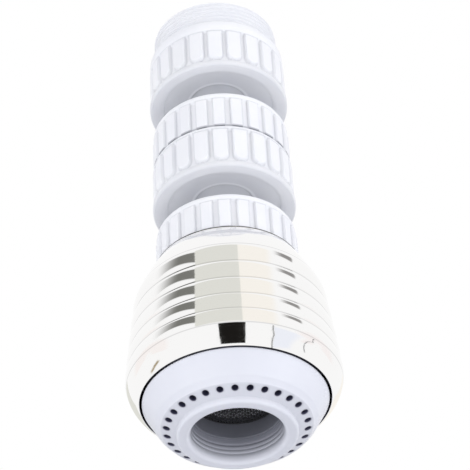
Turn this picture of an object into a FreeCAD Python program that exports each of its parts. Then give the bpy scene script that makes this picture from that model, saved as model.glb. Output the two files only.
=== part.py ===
"""Swivel faucet aerator: a threaded inlet, two ball joints and a bell-shaped head with a two-mode spray face.

The axis of every piece is Z. The outlet lip stands on the plane Z = 0 and the inlet thread points up.
Lengths are millimetres.
"""
import FreeCAD, Part
import math
import os
import sys

import Sketcher
from FreeCAD import Placement, Rotation, Vector

DIMENSIONS = {
    # Inlet collar with its male thread, washer seat and filter seat
    "thread_radius": 12.0, "thread_length": 6.4, "thread_chamfer": 0.6, "thread_wall": 1.6,
    "inlet_seat_depth": 3.0, "washer_thickness": 2.0, "washer_width": 2.75, "filter_thickness": 0.8,
    "filter_rim_width": 2.4, "filter_web": 0.4, "filter_border": 1.95,
    # Ball joints
    "ball_radius": 6.8, "ball_clearance": 0.1, "ball_flat_drop": 2.2, "ball_inlet_flare": 2.0,
    "ball_inlet_depth": 3.0, "stem_step": 3.3, "stem_fillet": 0.8, "stem_wall": 1.3,
    "waterway_radius": 3.0, "throat_lap": 1.2, "dish_height": 2.0, "mouth_lip_width": 2.05,
    "mouth_wall": 0.9, "mouth_draft": 0.5, "dish_round": 12.0,
    "seat_drop": 1.2, "seal_bottom": 1.5, "seal_top": 3.3, "seal_width": 1.5,
    "foot_step": 2.0, "foot_length": 3.6, "foot_hole_depth": 4.0, "flange_width": 0.9,
    "flange_height": 1.5, "flange_flat_cut": 0.7, "ring_section": 1.1,
    # Union nuts and coupling rings
    "spigot_shoulder": 1.0, "fit_clearance": 0.05, "upper_nut_height": 12.0, "lower_nut_height": 10.1,
    "nut_wall": 1.35, "nut_lip_proud": 0.85, "nut_lip_height": 1.7, "nut_lip_round": 0.5,
    "nut_rib_proud": 0.7, "nut_rib_width": 2.9, "nut_rib_count": 22, "upper_band_height": 2.6,
    "lower_band_height": 0.7, "nut_band_proud": 0.6, "nut_bevel": 0.4, "grip_root": 0.6,
    "coupling_inset": 0.05, "coupling_rib_proud": 0.55, "coupling_rib_width": 2.3,
    "coupling_rib_count": 24, "coupling_rim": 1.2, "coupling_bevel": 0.35, "upper_gap": 6.8,
    "middle_height": 8.4, "lower_gap": 6.2, "head_coupling_height": 8.0, "head_spigot_inset": 0.8,
    "head_spigot_length": 5.5, "head_spigot_wall": 2.4, "head_neck_length": 0.8, "head_cone_height": 3.0,
    # Chrome shell
    "shell_base": 7.0, "shell_height": 28.4, "shell_seam": 0.5, "shell_band_bulge": 2.2,
    "shell_band_height": 3.3, "shell_band_round": 4.4, "shell_step": 3.05, "shell_step_growth": 0.13,
    "shell_step_round": 4.6,
    "shell_taper": 0.25, "shell_taper_growth": 0.035, "shell_shoulder_round": 9.5, "shell_neck_proud": 1.05,
    "shell_wall": 1.2, "shell_top_wall": 1.8, "shell_lip": 0.8,
    # Housing inside the shell
    "gasket_thickness": 1.0, "boss_wall": 1.55, "boss_shoulder_drop": 4.0, "housing_clearance": 0.875,
    "housing_wall": 1.6, "housing_roof": 1.7, "housing_flange_height": 1.4, "housing_gap": 0.3,
    "plate_rise": 9.0, "plate_height": 2.6, "plate_rim_height": 1.2, "plate_rim_width": 0.8,
    "port_inset": 3.2, "port_radius": 1.3, "port_seal_width": 1.1, "port_seal_depth": 1.6,
    "face_ring_inset": 2.3, "face_ring_section": 1.0, "face_ring_groove": 0.8,
    "screw_radius": 1.1, "screw_head_step": 0.9, "screw_head_height": 1.0, "screw_length": 5.6,
    "screw_boss_wall": 1.5, "screw_boss_height": 2.4, "screw_washer_step": 0.4,
    "screw_washer_thickness": 0.3, "screw_recess": 1.45,
    "detent_radius": 1.0, "detent_inset": 2.1, "detent_pocket_depth": 3.4, "detent_boss_wall": 0.9,
    "detent_track": 0.4, "detent_dimple": 0.25, "detent_wire": 0.16, "detent_turns": 5,
    # Rotating spray face with its distributor disc
    "running_gap": 0.3, "rotor_height": 2.2, "skirt_wall": 1.1, "channel_width": 2.4,
    "channel_height": 1.2, "channel_overrun": 0.5, "pocket_half_width": 2.0,
    "pocket_angle": 100.0, "bore_radius": 8.0, "lip_inner_run": 0.3, "lip_crest_run": 0.6,
    "lip_crest_width": 0.4, "lip_outer_run": 0.7, "lip_inner_rise": 0.25, "lip_outer_rise": 0.7,
    "lip_bore_rise": 1.0, "lip_foot_run": 0.4, "nozzle_floor": 1.75, "nozzle_zone": 2.65,
    "nozzle_inset": 0.95, "nozzle_radius": 0.52, "nozzle_count": 30, "bevel_run": 0.9, "bevel_rise": 1.25,
    "cone_run": 2.15, "face_floor_thickness": 1.65, "face_wall": 2.1, "skirt_gap": 0.5,
    "tube_wall": 1.0, "aerator_ledge": 5.8, "aerator_ledge_width": 0.9,
    # Aerator cartridge in the face's tube
    "sleeve_lip_width": 1.5, "aerator_lip_height": 3.0, "sleeve_wall": 0.8,
    "screen_thickness": 0.5, "spacer_height": 1.5, "spacer_wall": 0.9, "jet_plate_height": 1.1,
    "jet_radius": 0.42, "screen_hole_radius": 0.42, "screen_border": 2.1, "screen_rings": 4,
}
RIB_END_FLATNESS = 1.05
NODES = []


class Size:
    """A length with the expression that keeps it tied to the dimension sheet."""

    def __init__(self, value, text):
        self.value = float(value)
        self.text = text

    def combine(self, other, sign, result):
        other = other if isinstance(other, Size) else Size(other, repr(other))
        return Size(result(self.value, other.value), f"({self.text} {sign} {other.text})")

    def __add__(self, other):
        return self.combine(other, "+", lambda a, b: a + b)

    def __sub__(self, other):
        return self.combine(other, "-", lambda a, b: a - b)

    def __mul__(self, other):
        return self.combine(other, "*", lambda a, b: a * b)

    def __truediv__(self, other):
        return self.combine(other, "/", lambda a, b: a / b)

    def leg(self, other):
        """Other leg of a right triangle whose long side is this size."""
        square = self * self - other * other
        return Size(math.sqrt(square.value), f"sqrt({square.text})")


class Sheet:
    """The dimension sheet: every cell is a plain number with a word for its alias."""

    def __init__(self, doc):
        self.cells = doc.addObject("Spreadsheet::Sheet", "Dimensions")
        for row, (name, value) in enumerate(DIMENSIONS.items(), 1):
            self.cells.set(f"A{row}", name)
            self.cells.set(f"B{row}", str(value))
            self.cells.setAlias(f"B{row}", name)
        doc.recompute()

    def __getattr__(self, name):
        return Size(getattr(self.cells, name), f"Dimensions.{name}")


doc = FreeCAD.newDocument("SwivelAerator")
size = Sheet(doc)


class Corner:
    """A corner of an outline; round and side give the arc to the next corner and where its centre is."""

    def __init__(self, across, up, round=None, side="left"):
        self.across = across
        self.up = up
        self.round = round
        self.side = side

    @property
    def point(self):
        return Vector(self.across.value, self.up.value, 0)


def new_body(label):
    """An empty body that becomes the node with this label."""
    body = doc.addObject("PartDesign::Body", label)
    body.Label = label
    body.Placement = Placement()
    NODES.append(body)
    return body


def origin_feature(body, role):
    """The body's own origin plane or axis with this role."""
    return next(item for item in body.Origin.OriginFeatures if item.Role == role)


def bind(item, name, length):
    """Give a property its size and tie it to the sheet."""
    setattr(item, name, length.value)
    item.setExpression(name, length.text)


def new_sketch(body, name, plane, lift=None):
    """A sketch on one of the body's origin planes, moved along the plane's normal by lift."""
    sketch = body.newObject("Sketcher::SketchObject", name)
    sketch.AttachmentSupport = [(origin_feature(body, plane), "")]
    sketch.MapMode = "FlatFace"
    if lift is not None:
        sketch.AttachmentOffset = Placement(Vector(0, 0, lift.value), Rotation())
        sketch.setExpression("AttachmentOffset.Base.z", lift.text)
    return sketch


def tie_coordinate(sketch, kind, geometry, position, length):
    """Fix one coordinate of a sketch point from the sketch's own origin."""
    ends = (-1, 1, geometry, position) if length.value > 0 else (geometry, position, -1, 1)
    index = sketch.addConstraint(Sketcher.Constraint(kind, *ends, abs(length.value)))
    text = length.text if length.value > 0 else f"-1 * {length.text}"
    sketch.setExpression(f"Constraints[{index}]", text)


def tie_point(sketch, geometry, position, across, up):
    """Fix a sketch point; a coordinate of nought puts the point on the axis."""
    if abs(across.value) < 1e-9:
        sketch.addConstraint(Sketcher.Constraint("PointOnObject", geometry, position, -2))
    else:
        tie_coordinate(sketch, "DistanceX", geometry, position, across)
    if abs(up.value) < 1e-9:
        sketch.addConstraint(Sketcher.Constraint("PointOnObject", geometry, position, -1))
    else:
        tie_coordinate(sketch, "DistanceY", geometry, position, up)


def tie_radius(sketch, geometry, radius):
    """Fix the radius of a circle or an arc."""
    index = sketch.addConstraint(Sketcher.Constraint("Radius", geometry, radius.value))
    sketch.setExpression(f"Constraints[{index}]", radius.text)


def arc_between(start, end, radius, side):
    """The arc from start to end, drawn anticlockwise, and whether it runs backwards."""
    chord = end - start
    rise = math.sqrt(radius ** 2 - (chord.Length / 2) ** 2)
    across = Vector(-chord.y, chord.x, 0).normalize() * (rise if side == "left" else -rise)
    centre = (start + end) * 0.5 + across
    first, last = (start, end) if side == "left" else (end, start)
    angles = [math.atan2(point.y - centre.y, point.x - centre.x) for point in (first, last)]
    if angles[1] < angles[0]:
        angles[1] += 2 * math.pi
    return Part.ArcOfCircle(Part.Circle(centre, Vector(0, 0, 1), radius), *angles), side != "left"


def draw_outline(sketch, corners):
    """A closed outline through the corners, every corner tied to the sheet."""
    ends = []
    for corner, following in zip(corners, corners[1:] + corners[:1]):
        backwards = False
        if corner.round is None:
            curve = Part.LineSegment(corner.point, following.point)
        else:
            curve, backwards = arc_between(corner.point, following.point, corner.round.value, corner.side)
        geometry = sketch.addGeometry(curve, False)
        ends.append((geometry, 2, 1) if backwards else (geometry, 1, 2))
    for (geometry, _, last), (following, first, _) in zip(ends, ends[1:] + ends[:1]):
        sketch.addConstraint(Sketcher.Constraint("Coincident", geometry, last, following, first))
    for (geometry, first, _), corner in zip(ends, corners):
        tie_point(sketch, geometry, first, corner.across, corner.up)
        if corner.round is not None:
            tie_radius(sketch, geometry, corner.round)


def draw_circle(sketch, across, up, radius):
    """A circle tied to the sheet."""
    centre = Vector(across.value, up.value, 0)
    geometry = sketch.addGeometry(Part.Circle(centre, Vector(0, 0, 1), radius.value), False)
    tie_point(sketch, geometry, 3, across, up)
    tie_radius(sketch, geometry, radius)


def turned(label, corners):
    """A body turned about Z from its half section."""
    body = new_body(label)
    sketch = new_sketch(body, label + "_section", "XZ_Plane")
    draw_outline(sketch, corners)
    solid = body.newObject("PartDesign::Revolution", label + "_turned")
    solid.Profile = sketch
    solid.ReferenceAxis = (sketch, ["V_Axis"])
    solid.Angle = 360
    body.Tip = solid
    doc.recompute()
    return body


def padded(body, name, sketch, length, reverse=False):
    """A pad of the sketch."""
    pad = body.newObject("PartDesign::Pad", name)
    pad.Profile = sketch
    pad.Reversed = reverse
    bind(pad, "Length", length)
    body.Tip = pad
    return pad


def pocketed(body, name, sketch, length, upwards=False):
    """A pocket cut down from the sketch, or up from it."""
    pocket = body.newObject("PartDesign::Pocket", name)
    pocket.Profile = sketch
    pocket.Reversed = upwards
    bind(pocket, "Length", length)
    body.Tip = pocket
    return pocket


def repeated(body, name, feature, count):
    """Copies of a feature all round the Z axis."""
    pattern = body.newObject("PartDesign::PolarPattern", name)
    pattern.Originals = [feature]
    pattern.Axis = (origin_feature(body, "Z_Axis"), [""])
    pattern.Angle = 360
    pattern.Occurrences = round(count.value)
    pattern.setExpression("Occurrences", count.text)
    body.Tip = pattern
    return pattern


def number(count):
    """A plain count that no dimension drives."""
    return Size(count, repr(count))


def level_arc(run, rise):
    """Radius of the arc that starts along run and has turned by rise at the end of it."""
    return (run * run + rise * rise) / (rise * 2)


def torus(label, ring_radius, section_radius, level):
    """A round-section sealing ring."""
    ring = doc.addObject("Part::Torus", label)
    ring.Label = label
    bind(ring, "Radius1", ring_radius)
    bind(ring, "Radius2", section_radius)
    ring.Placement = Placement(Vector(0, 0, level.value), Rotation())
    ring.setExpression("Placement.Base.z", level.text)
    NODES.append(ring)
    return ring


# Levels, from the outlet lip up to the inlet
nought = number(0)
shell_top = size.shell_base + size.shell_height
head_coupling_top = shell_top + size.head_coupling_height
lower_nut_bottom = head_coupling_top + size.lower_gap
lower_nut_top = lower_nut_bottom + size.lower_nut_height
middle_top = lower_nut_top + size.middle_height
upper_nut_bottom = middle_top + size.upper_gap
upper_nut_top = upper_nut_bottom + size.upper_nut_height
inlet_top = upper_nut_top + size.thread_length
plate_level = size.shell_base + size.plate_rise
rotor_top = plate_level - size.running_gap
rotor_bottom = rotor_top - size.rotor_height

# Radii of the neck, all from the inlet thread
inlet_seat_radius = size.thread_radius - size.thread_wall
washer_bore_radius = inlet_seat_radius - size.fit_clearance - size.washer_width
spigot_radius = size.thread_radius - size.spigot_shoulder
nut_bore_radius = spigot_radius + size.fit_clearance
nut_base_radius = nut_bore_radius + size.nut_wall
nut_rib_radius = nut_base_radius + size.nut_rib_proud
nut_lip_radius = nut_base_radius + size.nut_lip_proud
nut_band_radius = nut_base_radius + size.nut_band_proud
mouth_radius = nut_lip_radius - size.mouth_lip_width
coupling_radius = nut_base_radius - size.coupling_inset
coupling_rib_radius = coupling_radius + size.coupling_rib_proud
head_spigot_radius = spigot_radius - size.head_spigot_inset
head_way_radius = head_spigot_radius - size.head_spigot_wall
shell_neck_radius = coupling_radius + size.shell_neck_proud
shell_bore_radius = head_spigot_radius + size.fit_clearance
boss_radius = shell_bore_radius + size.boss_wall

# The ball, its stem and its cavity, and the centres of both balls
cavity_radius = size.ball_radius + size.ball_clearance
seal_radius = cavity_radius + size.seal_width
throat_radius = size.ball_radius - size.throat_lap
throat_depth = cavity_radius.leg(throat_radius)
seat_radius = cavity_radius.leg(size.seat_drop)
ball_flat_height = size.ball_radius - size.ball_flat_drop
stem_radius = size.ball_radius - size.stem_step
stem_bore_radius = stem_radius - size.stem_wall
ball_inlet_radius = stem_bore_radius + size.ball_inlet_flare
lower_centre = lower_nut_bottom + size.dish_height + throat_depth
upper_centre = upper_nut_bottom + size.dish_height + throat_depth
foot_radius = stem_radius + size.foot_step
foot_hole_radius = foot_radius + size.fit_clearance
ring_groove_radius = foot_hole_radius + size.ring_section + size.fit_clearance
flange_radius = ring_groove_radius + size.flange_width
flange_flat = flange_radius - size.flange_flat_cut

# Radii of the head, all from the outlet's bore
lip_inner_radius = size.bore_radius + size.lip_inner_run
lip_crest_radius = lip_inner_radius + size.lip_crest_run
crest_outer_radius = lip_crest_radius + size.lip_crest_width
lip_outer_radius = crest_outer_radius + size.lip_outer_run
nozzle_inner_radius = lip_outer_radius + size.lip_foot_run
nozzle_outer_radius = nozzle_inner_radius + size.nozzle_zone
nozzle_pitch_radius = nozzle_outer_radius - size.nozzle_inset
bevel_radius = nozzle_outer_radius + size.bevel_run
bevel_level = size.nozzle_floor + size.bevel_rise
face_radius = bevel_radius + size.cone_run
face_floor_level = size.nozzle_floor + size.face_floor_thickness
face_floor_radius = nozzle_outer_radius + size.fit_clearance
face_chamber_radius = face_radius - size.face_wall
face_skirt_top = plate_level - size.skirt_gap
shell_mouth_radius = face_radius + size.shell_seam
shell_radius = shell_mouth_radius + size.shell_band_bulge
rotor_radius = face_radius - size.skirt_wall - size.fit_clearance
aerator_radius = size.bore_radius + size.aerator_ledge_width
tube_radius = aerator_radius + size.tube_wall
aerator_bore_radius = aerator_radius - size.sleeve_lip_width
screen_seat_radius = aerator_radius - size.sleeve_wall
screen_pitch = (screen_seat_radius - size.screen_border) / size.screen_rings


def ball_cavity(centre):
    """Inner corners from the waterway down round the ball to the spigot's end, with the seal's groove."""
    groove_radius = seal_radius + size.fit_clearance
    cavity_top = cavity_radius.leg(size.waterway_radius)
    return [
        Corner(size.waterway_radius, centre + cavity_top, cavity_radius, "right"),
        Corner(cavity_radius.leg(size.seal_top), centre + size.seal_top),
        Corner(groove_radius, centre + size.seal_top),
        Corner(groove_radius, centre + size.seal_bottom),
        Corner(cavity_radius.leg(size.seal_bottom), centre + size.seal_bottom, cavity_radius, "right"),
        Corner(seat_radius, centre - size.seat_drop),
    ]


def inlet_adapter():
    """Threaded collar whose lower spigot holds the upper ball."""
    turned("inlet_adapter", [
        Corner(spigot_radius, upper_centre - size.seat_drop),
        Corner(spigot_radius, upper_nut_top),
        Corner(size.thread_radius, upper_nut_top),
        Corner(size.thread_radius, inlet_top - size.thread_chamfer),
        Corner(size.thread_radius - size.thread_chamfer, inlet_top),
        Corner(inlet_seat_radius, inlet_top),
        Corner(inlet_seat_radius, inlet_top - size.inlet_seat_depth),
        Corner(size.waterway_radius, inlet_top - size.inlet_seat_depth),
    ] + ball_cavity(upper_centre))


def flat_ring(label, inner, outer, bottom, height):
    """A washer, gasket or spacer of rectangular section."""
    return turned(label, [
        Corner(inner, bottom), Corner(outer, bottom),
        Corner(outer, bottom + height), Corner(inner, bottom + height),
    ])


def perforate(body, top, thickness, pitch):
    """Rings of round holes, six more in each ring than in the last, about a hole in the middle."""
    for ring in range(round(size.screen_rings.value) + 1):
        sketch = new_sketch(body, f"{body.Label}_hole_{ring}", "XY_Plane", top)
        draw_circle(sketch, pitch * ring if ring else nought, nought, size.screen_hole_radius)
        hole = pocketed(body, f"{body.Label}_cut_{ring}", sketch, thickness)
        if ring:
            repeated(body, f"{body.Label}_ring_{ring}", hole, number(6 * ring))


def inlet_filter():
    """Perforated strainer with a thicker rim, at the bottom of the inlet seat."""
    bottom = inlet_top - size.inlet_seat_depth
    outer = inlet_seat_radius - size.fit_clearance
    inner = outer - size.filter_rim_width
    body = turned("inlet_filter", [
        Corner(nought, bottom), Corner(outer, bottom), Corner(outer, bottom + size.filter_thickness),
        Corner(inner, bottom + size.filter_thickness), Corner(inner, bottom + size.filter_web),
        Corner(nought, bottom + size.filter_web),
    ])
    pitch = (inner - size.filter_border) / size.screen_rings
    perforate(body, bottom + size.filter_web, size.filter_web, pitch)


def inlet_washer():
    """Flat rubber washer that seals against the faucet's spout."""
    bottom = inlet_top - size.inlet_seat_depth + size.filter_thickness
    flat_ring("inlet_washer", washer_bore_radius, inlet_seat_radius - size.fit_clearance,
              bottom, size.washer_thickness)


def ball_seal(label, centre):
    """Rubber ring that wipes the upper half of a ball."""
    wiped = size.ball_radius + size.fit_clearance
    low = size.seal_bottom + size.fit_clearance
    high = size.seal_top - size.fit_clearance
    turned(label, [
        Corner(seal_radius, centre + low),
        Corner(seal_radius, centre + high),
        Corner(wiped.leg(high), centre + high, wiped, "right"),
        Corner(wiped.leg(low), centre + low),
    ])


def nut_rib(body, bottom, top):
    """Raised grip pads round a nut, square at the top and rounded at the lower end."""
    root = nut_base_radius - size.grip_root
    half = size.nut_rib_width / 2
    mirrored = half * -1
    sketch = new_sketch(body, body.Label + "_rib_front", "XZ_Plane", root)
    draw_outline(sketch, [
        Corner(mirrored, top),
        Corner(mirrored, bottom + half, half * RIB_END_FLATNESS, "left"),
        Corner(half, bottom + half),
        Corner(half, top),
    ])
    rib = padded(body, body.Label + "_rib", sketch, nut_rib_radius - root)
    repeated(body, body.Label + "_ribs", rib, size.nut_rib_count)


def socket_nut(label, bottom, height, band_height, centre):
    """Union nut whose floor is the lower half of a ball's socket and whose underside is a hollow dish."""
    top = bottom + height
    band_bottom = top - band_height
    body = turned(label, [
        Corner(mouth_radius, bottom),
        Corner(nut_lip_radius - size.nut_lip_round, bottom, size.nut_lip_round, "left"),
        Corner(nut_lip_radius, bottom + size.nut_lip_round),
        Corner(nut_lip_radius, bottom + size.nut_lip_height - size.nut_lip_round),
        Corner(nut_base_radius, bottom + size.nut_lip_height),
        Corner(nut_base_radius, band_bottom - size.nut_bevel),
        Corner(nut_band_radius, band_bottom),
        Corner(nut_band_radius, top - size.nut_bevel),
        Corner(nut_band_radius - size.nut_bevel, top),
        Corner(nut_bore_radius, top),
        Corner(nut_bore_radius, centre - size.seat_drop),
        Corner(seat_radius, centre - size.seat_drop, cavity_radius, "right"),
        Corner(throat_radius, centre - throat_depth, size.dish_round, "right"),
        Corner(mouth_radius - size.mouth_draft, bottom + size.mouth_wall),
    ])
    nut_rib(body, bottom + size.nut_lip_height, band_bottom)


def ball_stud(label, centre, seat):
    """Hollow ball on a stem, with a flange and a threaded foot that screws into the piece below."""
    flange_top = seat + size.flange_height
    rim_radius = size.ball_radius.leg(ball_flat_height)
    body = turned(label, [
        Corner(stem_bore_radius, seat - size.foot_length),
        Corner(foot_radius, seat - size.foot_length),
        Corner(foot_radius, seat),
        Corner(flange_radius, seat),
        Corner(flange_radius, flange_top),
        Corner(stem_radius + size.stem_fillet, flange_top, size.stem_fillet, "right"),
        Corner(stem_radius, flange_top + size.stem_fillet),
        Corner(stem_radius, centre - size.ball_radius.leg(stem_radius), size.ball_radius, "left"),
        Corner(rim_radius, centre + ball_flat_height),
        Corner(ball_inlet_radius, centre + ball_flat_height),
        Corner(stem_bore_radius, centre + ball_flat_height - size.ball_inlet_depth),
    ])
    sketch = new_sketch(body, label + "_flat_front", "XY_Plane", flange_top)
    reach = flange_radius * 1.2
    low = flange_radius * -1
    draw_outline(sketch, [
        Corner(flange_flat, low), Corner(reach, low),
        Corner(reach, flange_radius), Corner(flange_flat, flange_radius),
    ])
    flat = pocketed(body, label + "_flat", sketch, size.flange_height)
    repeated(body, label + "_flats", flat, number(6))


def stud_seal(label, seat):
    """Sealing ring in the groove under a stud's flange."""
    section = size.ring_section / 2
    torus(label, foot_hole_radius + section + size.fit_clearance / 2, section, seat - section)


def coupling_rib(body, bottom, top):
    """Straight grip ribs round a coupling ring."""
    root = coupling_radius - size.grip_root
    half = size.coupling_rib_width / 2
    mirrored = half * -1
    sketch = new_sketch(body, body.Label + "_rib_front", "XZ_Plane", root)
    draw_outline(sketch, [
        Corner(mirrored, bottom), Corner(half, bottom), Corner(half, top), Corner(mirrored, top),
    ])
    rib = padded(body, body.Label + "_rib", sketch, coupling_rib_radius - root)
    repeated(body, body.Label + "_ribs", rib, size.coupling_rib_count)


def coupling_top(bottom, top):
    """Outer corners of a coupling ring and its threaded hole for a stud's foot."""
    rim = coupling_radius + size.coupling_bevel
    return [
        Corner(coupling_radius - size.coupling_bevel, bottom),
        Corner(coupling_radius, bottom + size.coupling_bevel),
        Corner(coupling_radius, top - size.coupling_rim - size.coupling_bevel),
        Corner(rim, top - size.coupling_rim),
        Corner(rim, top - size.coupling_bevel),
        Corner(rim - size.coupling_bevel, top),
        Corner(ring_groove_radius, top),
        Corner(ring_groove_radius, top - size.ring_section),
        Corner(foot_hole_radius, top - size.ring_section),
        Corner(foot_hole_radius, top - size.foot_hole_depth),
        Corner(size.waterway_radius, top - size.foot_hole_depth),
    ]


def middle_coupling():
    """Coupling between the two ball joints, with the lower ball's socket in its spigot."""
    body = turned("middle_coupling", [
        Corner(spigot_radius, lower_centre - size.seat_drop),
        Corner(spigot_radius, lower_nut_top),
    ] + coupling_top(lower_nut_top, middle_top) + ball_cavity(lower_centre))
    coupling_rib(body, lower_nut_top + size.coupling_bevel, middle_top - size.coupling_rim)


def head_coupling():
    """Coupling that clamps the shell to the housing with its threaded spigot."""
    spigot_end = shell_top - size.head_spigot_length
    cone_top = head_coupling_top - size.foot_hole_depth - size.head_neck_length
    body = turned("head_coupling", [
        Corner(head_way_radius, spigot_end),
        Corner(head_spigot_radius, spigot_end),
        Corner(head_spigot_radius, shell_top),
    ] + coupling_top(shell_top, head_coupling_top) + [
        Corner(size.waterway_radius, cone_top),
        Corner(head_way_radius, cone_top - size.head_cone_height),
    ])
    coupling_rib(body, shell_top + size.coupling_bevel, head_coupling_top - size.coupling_rim)


# Chrome shell
shell_roof = shell_top - size.shell_top_wall
first_step = size.shell_base + size.shell_band_height
last_step = first_step + size.shell_step * 5 + size.shell_step_growth * 25
shell_waist_radius = shell_radius - size.shell_taper * 5 - size.shell_taper_growth * 25
low_wall_radius = shell_radius - size.shell_wall
high_wall_radius = shell_waist_radius - size.shell_wall


def shell_wall_radius(level):
    """Inner radius of the shell's straight wall at a level."""
    share = (level - first_step) / (last_step - first_step)
    return low_wall_radius - (low_wall_radius - high_wall_radius) * share


def head_shell():
    """Bell-shaped shell with five bulged steps above a rounded lower band."""
    steps = []
    for step in range(6):
        radius = shell_radius - size.shell_taper * step - size.shell_taper_growth * step ** 2
        round_radius = size.shell_step_round if step < 5 else size.shell_shoulder_round
        level = first_step + size.shell_step * step + size.shell_step_growth * step ** 2
        steps.append(Corner(radius, level, round_radius, "left"))
    turned("head_shell", [
        Corner(shell_mouth_radius, size.shell_base, size.shell_band_round, "left"),
    ] + steps + [
        Corner(shell_neck_radius, shell_top),
        Corner(shell_bore_radius, shell_top),
        Corner(shell_bore_radius, shell_roof),
        Corner(boss_radius + size.shell_wall, shell_roof),
        Corner(high_wall_radius, last_step),
        Corner(low_wall_radius, first_step),
        Corner(shell_mouth_radius, size.shell_base + size.shell_lip),
    ])


# Housing, port plate and what is between them and the spray face
gasket_level = shell_top - size.head_spigot_length - size.gasket_thickness
housing_radius = high_wall_radius - size.housing_clearance
housing_bore_radius = housing_radius - size.housing_wall
plate_rim_radius = housing_bore_radius + size.plate_rim_width
plate_top = plate_level + size.plate_height
detent_pitch_radius = housing_bore_radius - size.detent_inset
face_ring_radius = detent_pitch_radius - size.face_ring_inset
port_pitch_radius = face_ring_radius - size.port_inset
port_seal_radius = size.port_radius + size.port_seal_width
pocket_inner_radius = port_pitch_radius - size.pocket_half_width
pocket_outer_radius = port_pitch_radius + size.pocket_half_width
channel_reach = nozzle_pitch_radius + size.channel_overrun
screw_head_radius = size.screw_radius + size.screw_head_step
screw_washer_radius = screw_head_radius + size.screw_washer_step
screw_boss_radius = size.screw_radius + size.screw_boss_wall
screw_seat = rotor_bottom + size.screw_recess - size.fit_clearance - size.screw_washer_thickness
screw_end = screw_seat + size.screw_length


def head_housing():
    """Inner housing: threaded boss for the coupling above, water chamber and flange below."""
    shoulder = shell_roof - size.boss_shoulder_drop
    skirt_top = gasket_level - size.housing_roof
    flange_top = plate_level + size.housing_flange_height
    turned("head_housing", [
        Corner(plate_rim_radius, plate_level),
        Corner(shell_wall_radius(plate_level) - size.housing_gap, plate_level),
        Corner(shell_wall_radius(flange_top) - size.housing_gap, flange_top),
        Corner(housing_radius, flange_top),
        Corner(housing_radius, skirt_top),
        Corner(boss_radius, shoulder),
        Corner(boss_radius, shell_roof),
        Corner(shell_bore_radius, shell_roof),
        Corner(shell_bore_radius, gasket_level),
        Corner(head_way_radius, gasket_level),
        Corner(head_way_radius, gasket_level - size.housing_roof),
        Corner(housing_bore_radius, gasket_level - size.housing_roof * 2),
        Corner(housing_bore_radius, plate_level + size.plate_rim_height),
        Corner(plate_rim_radius, plate_level + size.plate_rim_height),
    ])


def head_gasket():
    """Flat gasket between the coupling's spigot and the housing."""
    flat_ring("head_gasket", head_way_radius, head_spigot_radius, gasket_level, size.gasket_thickness)


def port_plate():
    """Fixed plate with two water ports, the screw's boss and the detent's pocket."""
    rim_top = plate_level + size.plate_rim_height
    groove_inner = face_ring_radius - size.face_ring_section / 2
    groove_outer = face_ring_radius + size.face_ring_section / 2
    groove_top = plate_level + size.face_ring_groove
    boss_top = plate_top + size.screw_boss_height
    body = turned("port_plate", [
        Corner(nought, plate_level),
        Corner(groove_inner, plate_level),
        Corner(groove_inner, groove_top),
        Corner(groove_outer, groove_top),
        Corner(groove_outer, plate_level),
        Corner(plate_rim_radius - size.fit_clearance, plate_level),
        Corner(plate_rim_radius - size.fit_clearance, rim_top),
        Corner(housing_bore_radius - size.fit_clearance, rim_top),
        Corner(housing_bore_radius - size.fit_clearance, plate_top),
        Corner(screw_boss_radius, plate_top),
        Corner(screw_boss_radius, boss_top),
        Corner(nought, boss_top),
    ])
    boss = new_sketch(body, "detent_boss_round", "XY_Plane", plate_top)
    pocket_radius = size.detent_radius + size.fit_clearance
    detent_boss_radius = pocket_radius + size.detent_boss_wall
    detent_place = detent_pitch_radius * -1
    draw_circle(boss, nought, detent_place, detent_boss_radius)
    padded(body, "detent_boss", boss, size.detent_pocket_depth + size.detent_boss_wall - size.plate_height)
    pocket = new_sketch(body, "detent_pocket_round", "XY_Plane", plate_level)
    draw_circle(pocket, nought, detent_place, pocket_radius)
    pocketed(body, "detent_pocket", pocket, size.detent_pocket_depth, upwards=True)
    screw_hole = new_sketch(body, "screw_hole_round", "XY_Plane", plate_level)
    draw_circle(screw_hole, nought, nought, size.screw_radius)
    pocketed(body, "screw_hole", screw_hole, screw_end + size.running_gap - plate_level, upwards=True)
    for name, radius, depth in (("port", size.port_radius, size.plate_height),
                                ("port_seat", port_seal_radius + size.fit_clearance, size.port_seal_depth)):
        sketch = new_sketch(body, name + "_round", "XY_Plane", plate_level)
        draw_circle(sketch, port_pitch_radius, nought, radius)
        hole = pocketed(body, name, sketch, depth, upwards=True)
        repeated(body, name + "s", hole, number(2))


def port_seal(label, side):
    """Rubber ring that presses on the distributor disc under a port."""
    body = new_body(label)
    across = port_pitch_radius * side
    bottom = rotor_top + size.fit_clearance
    sketch = new_sketch(body, label + "_section", "XY_Plane", bottom)
    draw_circle(sketch, across, nought, port_seal_radius)
    draw_circle(sketch, across, nought, size.port_radius)
    padded(body, label + "_pad", sketch, plate_level + size.port_seal_depth - bottom)


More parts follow.
